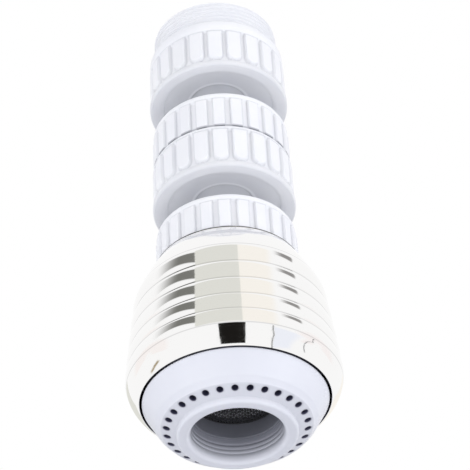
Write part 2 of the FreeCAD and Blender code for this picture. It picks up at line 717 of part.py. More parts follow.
def detent():
    """Spring-loaded ball that clicks into the distributor disc's dimples."""
    place = detent_pitch_radius * -1
    floor = rotor_top - size.detent_track
    ball_level = floor + size.detent_radius + size.fit_clearance
    ball = doc.addObject("Part::Sphere", "detent_ball")
    ball.Label = "detent_ball"
    bind(ball, "Radius", size.detent_radius)
    ball.Placement = Placement(Vector(0, place.value, ball_level.value), Rotation())
    ball.setExpression("Placement.Base.y", place.text)
    ball.setExpression("Placement.Base.z", ball_level.text)
    NODES.append(ball)
    spring_bottom = ball_level.value + size.detent_radius.value
    spring_top = (plate_level + size.detent_pocket_depth).value
    wire = size.detent_wire.value
    coil_radius = size.detent_radius.value - wire
    height = spring_top - spring_bottom - 2 * wire
    path = Part.makeHelix(height / size.detent_turns.value, height, coil_radius)
    section = Part.Wire(Part.makeCircle(wire, Vector(coil_radius, 0, 0), Vector(0, 1, 0)))
    spring = doc.addObject("Part::Feature", "detent_spring")
    spring.Label = "detent_spring"
    spring.Shape = Part.Wire(path).makePipeShell([section], True, True)
    spring.Placement = Placement(Vector(0, place.value, spring_bottom + wire), Rotation())
    NODES.append(spring)


def face_ring():
    """Sealing ring between the port plate and the distributor disc."""
    section = size.face_ring_section / 2 - size.fit_clearance / 2
    torus("face_ring", face_ring_radius, section, rotor_top + size.fit_clearance + section)


def distributor_disc():
    """Disc that turns with the face: one pair of ports feeds the aerator, the other pair the nozzles."""
    recess_top = rotor_bottom + size.screw_recess
    track_floor = rotor_top - size.detent_track
    track_radius = detent_pitch_radius
    track_half = size.detent_radius + size.fit_clearance
    body = turned("distributor_disc", [
        Corner(size.screw_radius + size.fit_clearance, recess_top),
        Corner(screw_washer_radius + size.fit_clearance, recess_top),
        Corner(screw_washer_radius + size.fit_clearance, rotor_bottom),
        Corner(rotor_radius, rotor_bottom),
        Corner(rotor_radius, rotor_top),
        Corner(track_radius + track_half, rotor_top),
        Corner(track_radius + track_half, track_floor),
        Corner(track_radius - track_half, track_floor),
        Corner(track_radius - track_half, rotor_top),
        Corner(size.screw_radius + size.fit_clearance, rotor_top),
    ])
    pocket_sketch = new_sketch(body, "aerator_pocket_section", "XZ_Plane")
    pocket_top = rotor_bottom + size.channel_height
    draw_outline(pocket_sketch, [
        Corner(pocket_inner_radius, rotor_bottom), Corner(pocket_outer_radius, rotor_bottom),
        Corner(pocket_outer_radius, pocket_top), Corner(pocket_inner_radius, pocket_top),
    ])
    pocket = body.newObject("PartDesign::Groove", "aerator_pocket")
    pocket.Profile = pocket_sketch
    pocket.ReferenceAxis = (pocket_sketch, ["V_Axis"])
    pocket.Midplane = True
    bind(pocket, "Angle", size.pocket_angle)
    body.Tip = pocket
    repeated(body, "aerator_pockets", pocket, number(2))
    channel_sketch = new_sketch(body, "nozzle_channel_top", "XY_Plane", rotor_bottom)
    half = size.channel_width / 2
    draw_outline(channel_sketch, [
        Corner(half * -1, pocket_inner_radius), Corner(half, pocket_inner_radius),
        Corner(half, channel_reach), Corner(half * -1, channel_reach),
    ])
    channel = pocketed(body, "nozzle_channel", channel_sketch, size.channel_height, upwards=True)
    repeated(body, "nozzle_channels", channel, number(2))
    port_sketch = new_sketch(body, "disc_port_round", "XY_Plane", rotor_top)
    draw_circle(port_sketch, port_pitch_radius, nought, size.port_radius)
    port = pocketed(body, "disc_port", port_sketch, size.rotor_height)
    repeated(body, "disc_ports", port, number(4))
    for turn, name in ((-1, "stream"), (1, "spray")):
        dimple = new_sketch(body, name + "_dimple_round", "XY_Plane", track_floor)
        across, up = (nought, track_radius * -1) if turn < 0 else (track_radius * -1, nought)
        draw_circle(dimple, across, up, size.detent_radius * 0.7)
        pocketed(body, name + "_dimple", dimple, size.detent_dimple)


def spray_face():
    """Rotating face: rounded outlet lip, ring of nozzles, bevel, cone and the skirt inside the shell."""
    inner_skirt = rotor_radius + size.fit_clearance
    inner_round = level_arc(lip_crest_radius - lip_inner_radius, size.lip_inner_rise)
    outer_round = level_arc(lip_outer_radius - crest_outer_radius, size.lip_outer_rise)
    body = turned("spray_face", [
        Corner(size.bore_radius, size.lip_bore_rise),
        Corner(lip_inner_radius, size.lip_inner_rise, inner_round, "left"),
        Corner(lip_crest_radius, nought),
        Corner(crest_outer_radius, nought, outer_round, "left"),
        Corner(lip_outer_radius, size.lip_outer_rise),
        Corner(nozzle_inner_radius, size.nozzle_floor),
        Corner(nozzle_outer_radius, size.nozzle_floor),
        Corner(nozzle_outer_radius + size.running_gap / 2, size.nozzle_floor + size.running_gap),
        Corner(bevel_radius, bevel_level),
        Corner(face_radius, size.shell_base),
        Corner(face_radius, face_skirt_top),
        Corner(inner_skirt, face_skirt_top),
        Corner(inner_skirt, rotor_bottom),
        Corner(face_chamber_radius, rotor_bottom),
        Corner(face_chamber_radius, size.shell_base),
        Corner(face_floor_radius, face_floor_level),
        Corner(tube_radius, face_floor_level),
        Corner(tube_radius, rotor_bottom),
        Corner(aerator_radius, rotor_bottom),
        Corner(aerator_radius, size.aerator_ledge),
        Corner(size.bore_radius, size.aerator_ledge),
    ])
    sketch = new_sketch(body, "nozzle_round", "XY_Plane", nought)
    draw_circle(sketch, nozzle_pitch_radius, nought, size.nozzle_radius)
    nozzle = pocketed(body, "nozzle", sketch, face_floor_level + size.nozzle_radius, upwards=True)
    repeated(body, "nozzles", nozzle, size.nozzle_count)


# Aerator cartridge levels
jet_plate_bottom = rotor_bottom - size.jet_plate_height
screen_level = size.aerator_ledge + size.aerator_lip_height
cartridge_radius = aerator_radius - size.fit_clearance


def aerator_sleeve():
    """Sleeve that rests on the ledge in the face's tube and holds the screens."""
    turned("aerator_sleeve", [
        Corner(aerator_bore_radius, size.aerator_ledge),
        Corner(cartridge_radius, size.aerator_ledge),
        Corner(cartridge_radius, jet_plate_bottom),
        Corner(screen_seat_radius, jet_plate_bottom),
        Corner(screen_seat_radius, screen_level),
        Corner(aerator_bore_radius, screen_level),
    ])


def aerator_screen(label, bottom):
    """Perforated screen."""
    body = turned(label, [
        Corner(nought, bottom), Corner(screen_seat_radius - size.fit_clearance, bottom),
        Corner(screen_seat_radius - size.fit_clearance, bottom + size.screen_thickness),
        Corner(nought, bottom + size.screen_thickness),
    ])
    perforate(body, bottom + size.screen_thickness, size.screen_thickness, screen_pitch)


def jet_plate():
    """Plate whose jets break the water up above the screens; its rim holds the screens down."""
    outer = screen_seat_radius - size.fit_clearance
    rim_bottom = screen_level + size.screen_thickness * 2 + size.spacer_height
    body = turned("jet_plate", [
        Corner(outer - size.spacer_wall, rim_bottom), Corner(outer, rim_bottom),
        Corner(outer, jet_plate_bottom), Corner(cartridge_radius, jet_plate_bottom),
        Corner(cartridge_radius, rotor_bottom), Corner(nought, rotor_bottom),
        Corner(nought, jet_plate_bottom), Corner(outer - size.spacer_wall, jet_plate_bottom),
    ])
    sketch = new_sketch(body, "jet_rounds", "XY_Plane", rotor_bottom)
    spread = size.pocket_angle.value / 2 - 12
    radii = (pocket_inner_radius + size.jet_radius * 2, pocket_outer_radius - size.jet_radius * 2)
    for side in (0, 180):
        for radius, count in zip(radii, (3, 5)):
            for place in range(count):
                angle = math.radians(side - spread + 2 * spread * place / (count - 1))
                draw_circle(sketch, radius * math.cos(angle), radius * math.sin(angle), size.jet_radius)
    pocketed(body, "jets", sketch, size.jet_plate_height)


def centre_screw():
    """Screw that holds the face to the port plate, and the washer under its head."""
    turned("centre_screw", [
        Corner(nought, screw_seat - size.screw_head_height),
        Corner(screw_head_radius, screw_seat - size.screw_head_height),
        Corner(screw_head_radius, screw_seat),
        Corner(size.screw_radius - size.fit_clearance, screw_seat),
        Corner(size.screw_radius - size.fit_clearance, screw_end),
        Corner(nought, screw_end),
    ])
    flat_ring("screw_washer", size.screw_radius, screw_washer_radius, screw_seat, size.screw_washer_thickness)


inlet_adapter()
inlet_filter()
inlet_washer()
socket_nut("upper_socket_nut", upper_nut_bottom, size.upper_nut_height, size.upper_band_height, upper_centre)
ball_seal("upper_ball_seal", upper_centre)
ball_stud("upper_ball_stud", upper_centre, middle_top)
stud_seal("upper_stud_seal", middle_top)
middle_coupling()
socket_nut("lower_socket_nut", lower_nut_bottom, size.lower_nut_height, size.lower_band_height, lower_centre)
ball_seal("lower_ball_seal", lower_centre)
ball_stud("lower_ball_stud", lower_centre, head_coupling_top)
stud_seal("lower_stud_seal", head_coupling_top)
head_coupling()
head_shell()
head_housing()
head_gasket()
port_plate()
port_seal("right_port_seal", 1)
port_seal("left_port_seal", -1)
detent()
face_ring()
distributor_disc()
spray_face()
aerator_sleeve()
aerator_screen("fine_screen", screen_level)
flat_ring("screen_spacer", screen_seat_radius - size.fit_clearance - size.spacer_wall,
          screen_seat_radius - size.fit_clearance, screen_level + size.screen_thickness, size.spacer_height)
aerator_screen("coarse_screen", screen_level + size.screen_thickness + size.spacer_height)
jet_plate()
centre_screw()

doc.recompute()
faults = [item.Label for item in doc.Objects if set(item.State) & {"Invalid", "Error"}]
for node in NODES:
    if node.Shape.isNull() or not node.Shape.isValid() or node.Shape.Volume <= 0:
        faults.append(node.Label)
if faults:
    sys.exit("These objects failed: " + ", ".join(faults))
os.makedirs("parts", exist_ok=True)
for node in NODES:
    box = node.Shape.BoundBox
    print(f"{node.Label}: {len(node.Shape.Solids)} solid, {node.Shape.Volume:.1f} mm3, "
          f"radius {box.XMax:.2f}, from {box.ZMin:.2f} to {box.ZMax:.2f}")
    node.Shape.exportStep(os.path.join("parts", node.Label + ".step"))
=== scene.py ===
"""Swivel faucet aerator: ribbed nuts, inlet thread, plated shell, spray face and woven screens.

The axis of the part is Z and its outlet lip stands on the plane Z = 0. Sizes in the classes are
millimetres; meshes, lamps and the camera are in metres.
"""
import logging
import math
from dataclasses import dataclass
from enum import Enum
from functools import partial, reduce
from typing import Callable, Sequence

import bmesh
import bpy
from mathutils import Matrix, Vector


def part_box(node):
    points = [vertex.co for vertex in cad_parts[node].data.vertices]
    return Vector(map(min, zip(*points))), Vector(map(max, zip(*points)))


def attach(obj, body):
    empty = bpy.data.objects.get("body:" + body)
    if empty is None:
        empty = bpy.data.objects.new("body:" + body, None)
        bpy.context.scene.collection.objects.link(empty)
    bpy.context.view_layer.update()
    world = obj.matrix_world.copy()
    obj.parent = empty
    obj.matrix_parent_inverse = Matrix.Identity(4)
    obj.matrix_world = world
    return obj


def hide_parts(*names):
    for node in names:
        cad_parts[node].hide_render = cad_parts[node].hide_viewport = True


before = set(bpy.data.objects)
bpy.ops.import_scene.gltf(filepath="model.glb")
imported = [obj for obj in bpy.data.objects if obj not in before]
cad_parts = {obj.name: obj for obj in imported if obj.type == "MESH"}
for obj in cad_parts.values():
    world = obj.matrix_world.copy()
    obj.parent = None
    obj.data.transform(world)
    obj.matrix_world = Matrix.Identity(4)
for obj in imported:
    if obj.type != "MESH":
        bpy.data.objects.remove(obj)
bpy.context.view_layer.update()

MM = 0.001
WELD = 0.004 * MM
LOG = logging.getLogger("swivel_aerator")

Point = tuple[float, float]
Points = tuple[Point, ...]
Colour = tuple[float, float, float]
Object = bpy.types.Object
Socket = bpy.types.NodeSocket
Material = bpy.types.Material
Vertex = bmesh.types.BMVert
# Gives the radius and the painted shade of a point from its radius, level and angle.
Wall = Callable[[float, float, float], Point]


class Slot(Enum):
    """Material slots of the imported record."""

    WHITE_PLASTIC = "white_plastic"
    INNER_PLASTIC = "inner_plastic"
    CHROME_PLATE = "chrome_plate"
    SEAL_RUBBER = "seal_rubber"
    STAINLESS_STEEL = "stainless_steel"


class Body(Enum):
    """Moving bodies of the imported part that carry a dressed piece."""

    INLET = "inlet"
    MIDDLE = "middle"
    HEAD = "head"
    FACE = "face"


@dataclass(frozen=True)
class Extent:
    """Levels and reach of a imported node, in millimetres."""

    bottom: float
    top: float
    reach: float

    @classmethod
    def of(cls, node: str) -> "Extent":
        """Reads the extent of a node from the frame."""
        low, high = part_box(node)
        return cls(low.z / MM, high.z / MM, high.x / MM)


# Outlines


class Outline(list):
    """Half section in the making: the radius and level of each point, in millimetres."""

    def to(self, *points: Point) -> "Outline":
        """Goes on through the points."""
        self.extend(points)
        return self

    def beside(self, corner: Point, offsets: Points) -> "Outline":
        """Goes on through the points at the given offsets from a corner."""
        return self.to(*((corner[0] + out, corner[1] + up) for out, up in offsets))

    def straight(self, end: Point, steps: int) -> "Outline":
        """Goes on to the end in equal steps."""
        start = Vector(self[-1])
        return self.to(*(tuple(start.lerp(Vector(end), step / steps)) for step in range(1, steps)), end)

    def arc(self, end: Point, radius: float, steps: int, outwards: bool = True) -> "Outline":
        """Goes on to the end round an arc.

        Args:
            end: Last point.
            radius: Radius of the arc.
            steps: Number of straight steps.
            outwards: Whether the arc swells to the right of the way to the end.

        Returns:
            The outline itself.
        """
        side = 1 if outwards else -1
        start = Vector(self[-1])
        chord = Vector(end) - start
        rise = math.sqrt(radius ** 2 - (chord.length / 2) ** 2)
        centre = (start + Vector(end)) / 2 + Vector((-chord.y, chord.x)).normalized() * rise * side
        first = math.atan2(start.y - centre.y, start.x - centre.x)
        swing = 2 * math.asin(chord.length / 2 / radius) * side
        for angle in (first + swing * step / steps for step in range(1, steps)):
            self.append((centre.x + radius * math.cos(angle), centre.y + radius * math.sin(angle)))
        return self.to(end)


def eased(*corners: tuple[float, ...]) -> list[Point]:
    """Closed outline whose corners are rounded off.

    Args:
        corners: Radius, level and, where the corner is rounded, the length it takes from each side.

    Returns:
        The outline's points.
    """
    steps = 4
    longest = 0.45
    points: list[Point] = []
    for before, corner, after in zip(corners[-1:] + corners[:-1], corners, corners[1:] + corners[:1]):
        place = Vector(corner[:2])
        if len(corner) < 3:
            points.append(tuple(place))
            continue
        arms = [Vector(other[:2]) - place for other in (before, after)]
        start, end = (place + arm.normalized() * min(corner[2], arm.length * longest) for arm in arms)
        for share in (step / steps for step in range(steps + 1)):
            points.append(tuple(start.lerp(place, share).lerp(place.lerp(end, share), share)))
    return points


def smooth(share: float) -> float:
    """Smooth step of a share that is held between nought and one."""
    share = min(max(share, 0.0), 1.0)
    return share * share * (3 - 2 * share)


# Node graphs


class Graph:
    """Short way to lay nodes and links in a node tree."""

    def __init__(self, tree: bpy.types.NodeTree) -> None:
        """Takes the tree that the nodes go into."""
        self.tree = tree

    def add(self, kind: str, inputs: dict | None = None, **settings: object) -> bpy.types.Node:
        """Lays a node.

        Args:
            kind: Type name of the node.
            inputs: Value or output socket for each input, by its name or index.
            settings: Properties of the node.

        Returns:
            The node.
        """
        node = self.tree.nodes.new(kind)
        for name, value in settings.items():
            setattr(node, name, value)
        for key, value in (inputs or {}).items():
            if isinstance(value, Socket):
                self.tree.links.new(value, node.inputs[key])
            else:
                node.inputs[key].default_value = value
        return node

    def out(self, kind: str, inputs: dict | None = None, **settings: object) -> Socket:
        """First output of a node that is laid in the same way."""
        return self.add(kind, inputs, **settings).outputs[0]

    def math(self, operation: str, *values: object) -> Socket:
        """Result of a math node on the given values or sockets."""
        return self.out("ShaderNodeMath", dict(enumerate(values)), operation=operation)

    def product(self, *values: object) -> Socket:
        """Product of several values or sockets."""
        return reduce(partial(self.math, "MULTIPLY"), values)

    def vector(self, x: object = 0.0, y: object = 0.0, z: object = 0.0) -> Socket:
        """Vector of three values or sockets."""
        return self.out("ShaderNodeCombineXYZ", {0: x, 1: y, 2: z})

    def steps(self, value: Socket, low: object, high: object) -> Socket:
        """Smooth step of a value from nought at low to one at high."""
        inputs = {"Value": value, "From Min": low, "From Max": high}
        return self.out("ShaderNodeMapRange", inputs, interpolation_type="SMOOTHSTEP")

    def blend(self, factor: Socket, *ends: object) -> Socket:
        """Colour between two colours or sockets."""
        inputs = {place: end if isinstance(end, Socket) else (*end, 1.0) for place, end in zip((6, 7), ends)}
        return self.add("ShaderNodeMix", {"Factor": factor, **inputs}, data_type="RGBA").outputs[2]

    def join(self, *parts: Socket) -> Socket:
        """Joins geometries.

        Args:
            parts: The geometries, in their order.

        Returns:
            All of them as one.
        """
        node = self.add("GeometryNodeJoinGeometry")
        for part in parts:
            self.tree.links.new(part, node.inputs[0])
        return node.outputs[0]


class GeometryTree(Graph):
    """Geometry Nodes tree with named inputs, whose result becomes a plain mesh."""

    name = "geometry"
    sizes: tuple[str, ...] = ()
    counts: tuple[str, ...] = ()
    sharp_angle = math.radians(52)

    def __init__(self) -> None:
        """Makes the tree with its sockets and lays its nodes."""
        super().__init__(bpy.data.node_groups.new(self.name, "GeometryNodeTree"))
        self.sockets: dict[str, str] = {}
        labels = {"Geometry": "Geometry", **dict.fromkeys(self.sizes, "Float"),
                  **dict.fromkeys(self.counts, "Int"), "Finish": "Material"}
        for label, kind in labels.items():
            socket = self.tree.interface.new_socket(label, in_out="INPUT", socket_type="NodeSocket" + kind)
            self.sockets[label] = socket.identifier
        self.tree.interface.new_socket("Geometry", in_out="OUTPUT", socket_type="NodeSocketGeometry")
        self.given = self.add("NodeGroupInput").outputs
        shaded = self.out("GeometryNodeSetShadeSmooth", {"Geometry": self.lay()})
        angle = self.out("GeometryNodeInputMeshEdgeAngle")
        sharp = {"Geometry": shaded, "Selection": self.math("GREATER_THAN", angle, self.sharp_angle),
                 "Shade Smooth": False}
        crisp = self.out("GeometryNodeSetShadeSmooth", sharp, domain="EDGE")
        realized = self.out("GeometryNodeRealizeInstances", {"Geometry": crisp})
        finish = {"Geometry": realized, "Material": self.given["Finish"]}
        self.add("NodeGroupOutput", {"Geometry": self.out("GeometryNodeSetMaterial", finish)})

    def lay(self) -> Socket:
        """Lays the tree's own nodes and returns the geometry they make."""
        raise NotImplementedError

    def place(self) -> Sequence[Socket]:
        """X, Y and Z of a point."""
        return self.add("ShaderNodeSeparateXYZ", {"Vector": self.out("GeometryNodeInputPosition")}).outputs

    def grow(self, name: str, source: Object, finish: Material, **values: object) -> Object:
        """Runs the tree on an object and keeps the result as a plain mesh in its stead.

        Args:
            name: Name of the piece.
            source: Object that the tree starts from, which goes.
            finish: Material of the result.
            values: Value of each named input.

        Returns:
            The piece, linked to the scene.
        """
        modifier = source.modifiers.new(self.name, "NODES")
        modifier.node_group = self.tree
        modifier[self.sockets["Finish"]] = finish
        for label, value in values.items():
            modifier[self.sockets[label.capitalize()]] = value
        depsgraph = bpy.context.evaluated_depsgraph_get()
        mesh = bpy.data.meshes.new_from_object(source.evaluated_get(depsgraph), depsgraph=depsgraph)
        source.modifiers.remove(modifier)
        bpy.data.objects.remove(source)
        mesh.name = name
        return placed(name, mesh)


class SectorRound(GeometryTree):
    """Copies of one sector, set all round the Z axis and welded into one skin."""

    name = "sector_round"
    sizes = ("Weld",)
    counts = ("Count",)

    def lay(self) -> Socket:
        """Turns each copy by its share of a full turn and merges the seams.

        Returns:
            The geometry.
        """
        points = self.out("GeometryNodePoints", {"Count": self.given["Count"]})
        index = self.out("GeometryNodeInputIndex")
        turn = self.math("DIVIDE", self.math("MULTIPLY", index, math.tau), self.given["Count"])
        copies = self.out("GeometryNodeInstanceOnPoints", {
            "Points": points, "Instance": self.given["Geometry"], "Rotation": self.vector(z=turn)})
        skin = self.out("GeometryNodeRealizeInstances", {"Geometry": copies})
        return self.out("GeometryNodeMergeByDistance", {"Geometry": skin, "Distance": self.given["Weld"]})


class ThreadCut(GeometryTree):
    """Helical groove cut into the outermost wall of a turned piece, fading out at both ends."""

    name = "thread_cut"
    sizes = ("Crest", "Depth", "Pitch", "Bottom", "Top", "Runout")
    flank = (0.06, 0.44)

    def lay(self) -> Socket:
        """Moves each point of the wall inwards by the thread's profile at its place on the helix.

        Returns:
            The geometry.
        """
        math_of, given = self.math, self.given
        x, y, z = self.place()
        radius = math_of("SQRT", math_of("ADD", self.product(x, x), self.product(y, y)))
        turns = math_of("DIVIDE", math_of("ARCTAN2", y, x), math.tau)
        place = math_of("SUBTRACT", math_of("DIVIDE", z, given["Pitch"]), turns)
        groove = self.steps(math_of("PINGPONG", place, 0.5), *self.flank)
        low = math_of("ADD", given["Bottom"], given["Runout"])
        high = math_of("SUBTRACT", given["Top"], given["Runout"])
        fade = self.product(self.steps(z, given["Bottom"], low),
                            math_of("SUBTRACT", 1.0, self.steps(z, high, given["Top"])))
        wall = math_of("GREATER_THAN", radius, math_of("SUBTRACT", given["Crest"], given["Depth"]))
        depth = self.product(groove, given["Depth"], self.product(fade, wall), -1.0)
        share = math_of("DIVIDE", depth, radius)
        offset = self.out("ShaderNodeVectorMath", {0: self.vector(x, y), "Scale": share}, operation="SCALE")
        return self.out("GeometryNodeSetPosition", {"Geometry": given["Geometry"], "Offset": offset})


class WireWeave(GeometryTree):
    """Round cloth of plain-woven wire: two crossing sets of waved wires, cut to a disc."""

    name = "wire_weave"
    sizes = ("Radius", "Pitch", "Wire", "Level")
    counts = ("Count", "Steps")
    sides = 6

    def strands(self, sway: float, turn: float) -> Socket:
        """Lays one set of wires.

        Args:
            sway: Which way the first wave goes, 1 or -1.
            turn: How far the set is turned about Z, in radians.

        Returns:
            The wires as curves.
        """
        math_of, given = self.math, self.given
        half = self.product(given["Pitch"], 0.5)
        reach = self.product(math_of("SUBTRACT", given["Count"], 1.0), half)
        line = self.out("GeometryNodeMeshLine", {
            "Count": given["Count"], "Start Location": self.vector(y=self.product(reach, -1.0)),
            "Offset": self.vector(y=given["Pitch"])})
        ends = {"Start": self.vector(-1.0), "End": self.vector(1.0)}
        wire = self.out("GeometryNodeCurvePrimitiveLine", ends)
        wire = self.out("GeometryNodeResampleCurve", {"Curve": wire, "Count": given["Steps"]})
        x, y, _ = self.place()
        chord = math_of("SQRT", math_of("MAXIMUM", 0.0, math_of(
            "SUBTRACT", self.product(given["Radius"], given["Radius"]), self.product(y, y))))
        wires = self.out("GeometryNodeInstanceOnPoints", {
            "Points": line, "Instance": wire, "Scale": self.vector(chord, 1.0, 1.0)})
        wires = self.out("GeometryNodeRealizeInstances", {"Geometry": wires})
        row = math_of("ROUND", math_of("DIVIDE", math_of("ADD", y, reach), given["Pitch"]))
        column = math_of("DIVIDE", math_of("ADD", x, reach), given["Pitch"])
        wave = math_of("COSINE", self.product(math_of("ADD", row, column), math.pi))
        height = math_of("ADD", self.product(wave, given["Wire"], sway), given["Level"])
        wires = self.out("GeometryNodeSetPosition", {"Geometry": wires, "Offset": self.vector(z=height)})
        return self.out("GeometryNodeTransform", {"Geometry": wires, "Rotation": (0.0, 0.0, turn)})

    def lay(self) -> Socket:
        """Joins the seed rim with both sets of wires, each given a round section.

        Returns:
            The geometry.
        """
        both = self.join(self.strands(1.0, 0.0), self.strands(-1.0, math.pi / 2))
        section = self.out("GeometryNodeCurvePrimitiveCircle", {
            "Resolution": self.sides, "Radius": self.given["Wire"]})
        wires = {"Curve": both, "Profile Curve": section, "Fill Caps": True}
        return self.join(self.given["Geometry"], self.out("GeometryNodeCurveToMesh", wires))


# Meshes


def placed(name: str, mesh: bpy.types.Mesh) -> Object:
    """Links a mesh to the scene as a piece at the origin, its faces turned outwards.

    Args:
        name: Name of the piece.
        mesh: Its mesh, already in place.

    Returns:
        The piece's object.
    """
    work = bmesh.new()
    work.from_mesh(mesh)
    bmesh.ops.recalc_face_normals(work, faces=work.faces)
    work.to_mesh(mesh)
    work.free()
    return linked(bpy.data.objects.new(name, mesh))


def linked(thing: Object) -> Object:
    """Links an object to the scene and returns it."""
    bpy.context.scene.collection.objects.link(thing)
    return thing


class SectorWork:
    """Mesh of one sector in the making, centred on the -Y side, with the painted shade of each vertex."""

    def __init__(self, count: int, steps: int) -> None:
        """Starts the mesh.

        Args:
            count: How many sectors make a full turn.
            steps: Steps across the sector.
        """
        self.half = math.pi / count
        self.angles = [self.half * (2 * step / steps - 1) for step in range(steps + 1)]
        self.work = bmesh.new()
        # Float layer of painted shade: how far each vertex's colour is darkened towards its finish's shade
        # colour.
        self.shade = self.work.verts.layers.float.new("painted_shade")

    def vertex(self, radius: float, level: float, angle: float, painted_shade: float) -> Vertex:
        """Adds a vertex.

        Args:
            radius: Its radius, in millimetres.
            level: Its level, in millimetres.
            angle: Its angle from the middle of the sector.
            painted_shade: How much painted shade it carries, from nought to one.

        Returns:
            The vertex.
        """
        place = Vector((radius * math.sin(angle), -radius * math.cos(angle), level)) * MM
        vertex = self.work.verts.new(place)
        vertex[self.shade] = painted_shade
        return vertex

    def sheet(self, outline: Sequence[Point], wall: Wall, closed: bool) -> list[list[Vertex]]:
        """Turns an outline through the sector.

        Args:
            outline: Half section, in millimetres.
            wall: Gives the radius and the painted shade of a point from its radius, level and angle.
            closed: Whether the outline's last point joins its first.

        Returns:
            The columns of vertices, one for each angle.
        """
        columns = []
        for angle in self.angles:
            places = [(*wall(radius, level, angle), level) for radius, level in outline]
            columns.append([self.vertex(radius, level, angle, painted_shade) for radius, painted_shade, level in places])
        for left, right in zip(columns, columns[1:]):
            for low in range(len(outline) - (not closed)):
                high = (low + 1) % len(outline)
                self.work.faces.new((left[low], right[low], right[high], left[high]))
        return columns

    def bridge(self, first: list[Vertex], second: list[Vertex]) -> None:
        """Joins two closed rings of equal count with faces."""
        for place, after in enumerate([*range(1, len(first)), 0]):
            self.work.faces.new((first[place], first[after], second[after], second[place]))

    def ring(self, border: list[Vertex], centre: float, radius: float, level: Callable[[float], float],
             painted_shade: float) -> list[Vertex]:
        """Adds a ring about an upright axis, with one vertex for each of a border's.

        Args:
            border: Ring whose vertices give the directions from the pitch circle's point.
            centre: Radius of the ring's axis from the part's.
            radius: Radius of the ring.
            level: Level of a vertex from its radius from the part's axis.
            painted_shade: Painted shade of its vertices.

        Returns:
            The ring, in the border's order.
        """
        ring = []
        for vertex in border:
            way = Vector((vertex.co.x, vertex.co.y + centre * MM)).normalized() * radius
            place = Vector((way.x, way.y - centre))
            ring.append(self.vertex(place.length, level(place.length), math.atan2(place.x, -place.y), painted_shade))
        return ring

    def ended(self, name: str) -> Object:
        """Ends the work.

        Args:
            name: Name of the sector.

        Returns:
            The sector as an object of the scene.
        """
        mesh = bpy.data.meshes.new(name)
        self.work.to_mesh(mesh)
        self.work.free()
        return linked(bpy.data.objects.new(name, mesh))


def dress(piece: Object, body: Body, slot: Slot, *nodes: str) -> None:
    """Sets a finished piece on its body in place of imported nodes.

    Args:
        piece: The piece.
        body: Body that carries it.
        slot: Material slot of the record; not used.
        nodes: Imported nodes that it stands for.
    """
    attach(piece, body.value)
    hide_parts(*nodes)
    LOG.info("%s: %d faces on %s", piece.name, len(piece.data.polygons), body.value)


# Finishes


class FinishGraph(Graph):
    """Node graph of a material in the making, patterned on the piece's own coordinates."""

    def __init__(self, name: str) -> None:
        """Makes the material with an empty graph.

        Args:
            name: Name of the material.
        """
        self.material = bpy.data.materials.new(name)
        self.material.use_nodes = True
        self.material.node_tree.nodes.clear()
        super().__init__(self.material.node_tree)

    def noise(self, scale: float, detail: float, stretch: Colour | None = None) -> Socket:
        """Noise on the piece.

        Args:
            scale: Scale of the noise.
            detail: Its octaves.
            stretch: Scale of the coordinates along X, Y and Z.

        Returns:
            The noise's value.
        """
        place = self.add("ShaderNodeTexCoord").outputs["Object"]
        if stretch:
            place = self.out("ShaderNodeMapping", {"Vector": place, "Scale": stretch})
        return self.out("ShaderNodeTexNoise", {"Vector": place, "Scale": scale, "Detail": detail})

    def spread(self, value: Socket, middle: float, ends: Point, span: Point) -> Socket:
        """Spreads a middle value between two ends, as another value goes over a span.

        Args:
            value: The value that leads.
            middle: The middle value.
            ends: How far the result lies from the middle value at either end.
            span: Where the leading value starts and ends.

        Returns:
            The result.
        """
        return self.out("ShaderNodeMapRange", {
            "Value": value, "From Min": span[0], "From Max": span[1],
            "To Min": middle + ends[0], "To Max": middle + ends[1]})

    def bump(self, height: Socket, distance: float, strength: float) -> Socket:
        """Normal of a fine relief."""
        return self.out("ShaderNodeBump", {"Height": height, "Distance": distance, "Strength": strength})

    def painted_shade(self) -> Socket:
        """Painted shade that the mesh carries at each vertex."""
        return self.add("ShaderNodeAttribute", attribute_name="painted_shade").outputs["Fac"]

    def finish(self, colour: object, roughness: object, normal: Socket, **others: float) -> Material:
        """Ends the material with a Principled shader.

        Args:
            colour: Base colour or its socket.
            roughness: Roughness or its socket.
            normal: Normal of the relief.
            others: Other inputs of the shader, with underscores for spaces.

        Returns:
            The material.
        """
        inputs = {"Base Color": colour, "Roughness": roughness, "Normal": normal}
        inputs.update((name.replace("_", " "), value) for name, value in others.items())
        shader = self.out("ShaderNodeBsdfPrincipled", inputs)
        self.add("ShaderNodeOutputMaterial", {"Surface": shader})
        return self.material


@dataclass(frozen=True)
class MouldedPlastic:
    """Moulded plastic: faint mottling, a fine moulded grain and painted shade in recesses, seams and holes,
    taken from the mesh's vertex values.
    """

    name: str
    colour: Colour
    tint: Colour
    # Colour of the painted shade that the mesh's vertex values blend in.
    shade: Colour
    roughness: float
    coat: float = 0.0
    coat_roughness: float = 0.12
    mottle_scale: float = 160.0
    mottle_range: Point = (0.3, 0.8)
    rough_range: Point = (0.3, 0.7)
    rough_spread: Point = (-0.04, 0.05)
    grain_scale: float = 2600.0
    grain_height: float = 0.000004
    grain_strength: float = 0.35

    def build(self) -> Material:
        """Makes the material from its sizes and colours.

        Returns:
            The material.
        """
        graph = FinishGraph(self.name)
        mottle = graph.noise(self.mottle_scale, detail=3.0)
        clean = graph.blend(graph.steps(mottle, *self.mottle_range), self.colour, self.tint)
        return graph.finish(
            # Painted shade: the clean colour is blended towards the shade colour by each vertex's painted
            # shade value.
            graph.blend(graph.painted_shade(), clean, self.shade),
            graph.spread(mottle, self.roughness, self.rough_spread, self.rough_range),
            graph.bump(graph.noise(self.grain_scale, detail=2.0), self.grain_height, self.grain_strength),
            Coat_Weight=self.coat, Coat_Roughness=self.coat_roughness)


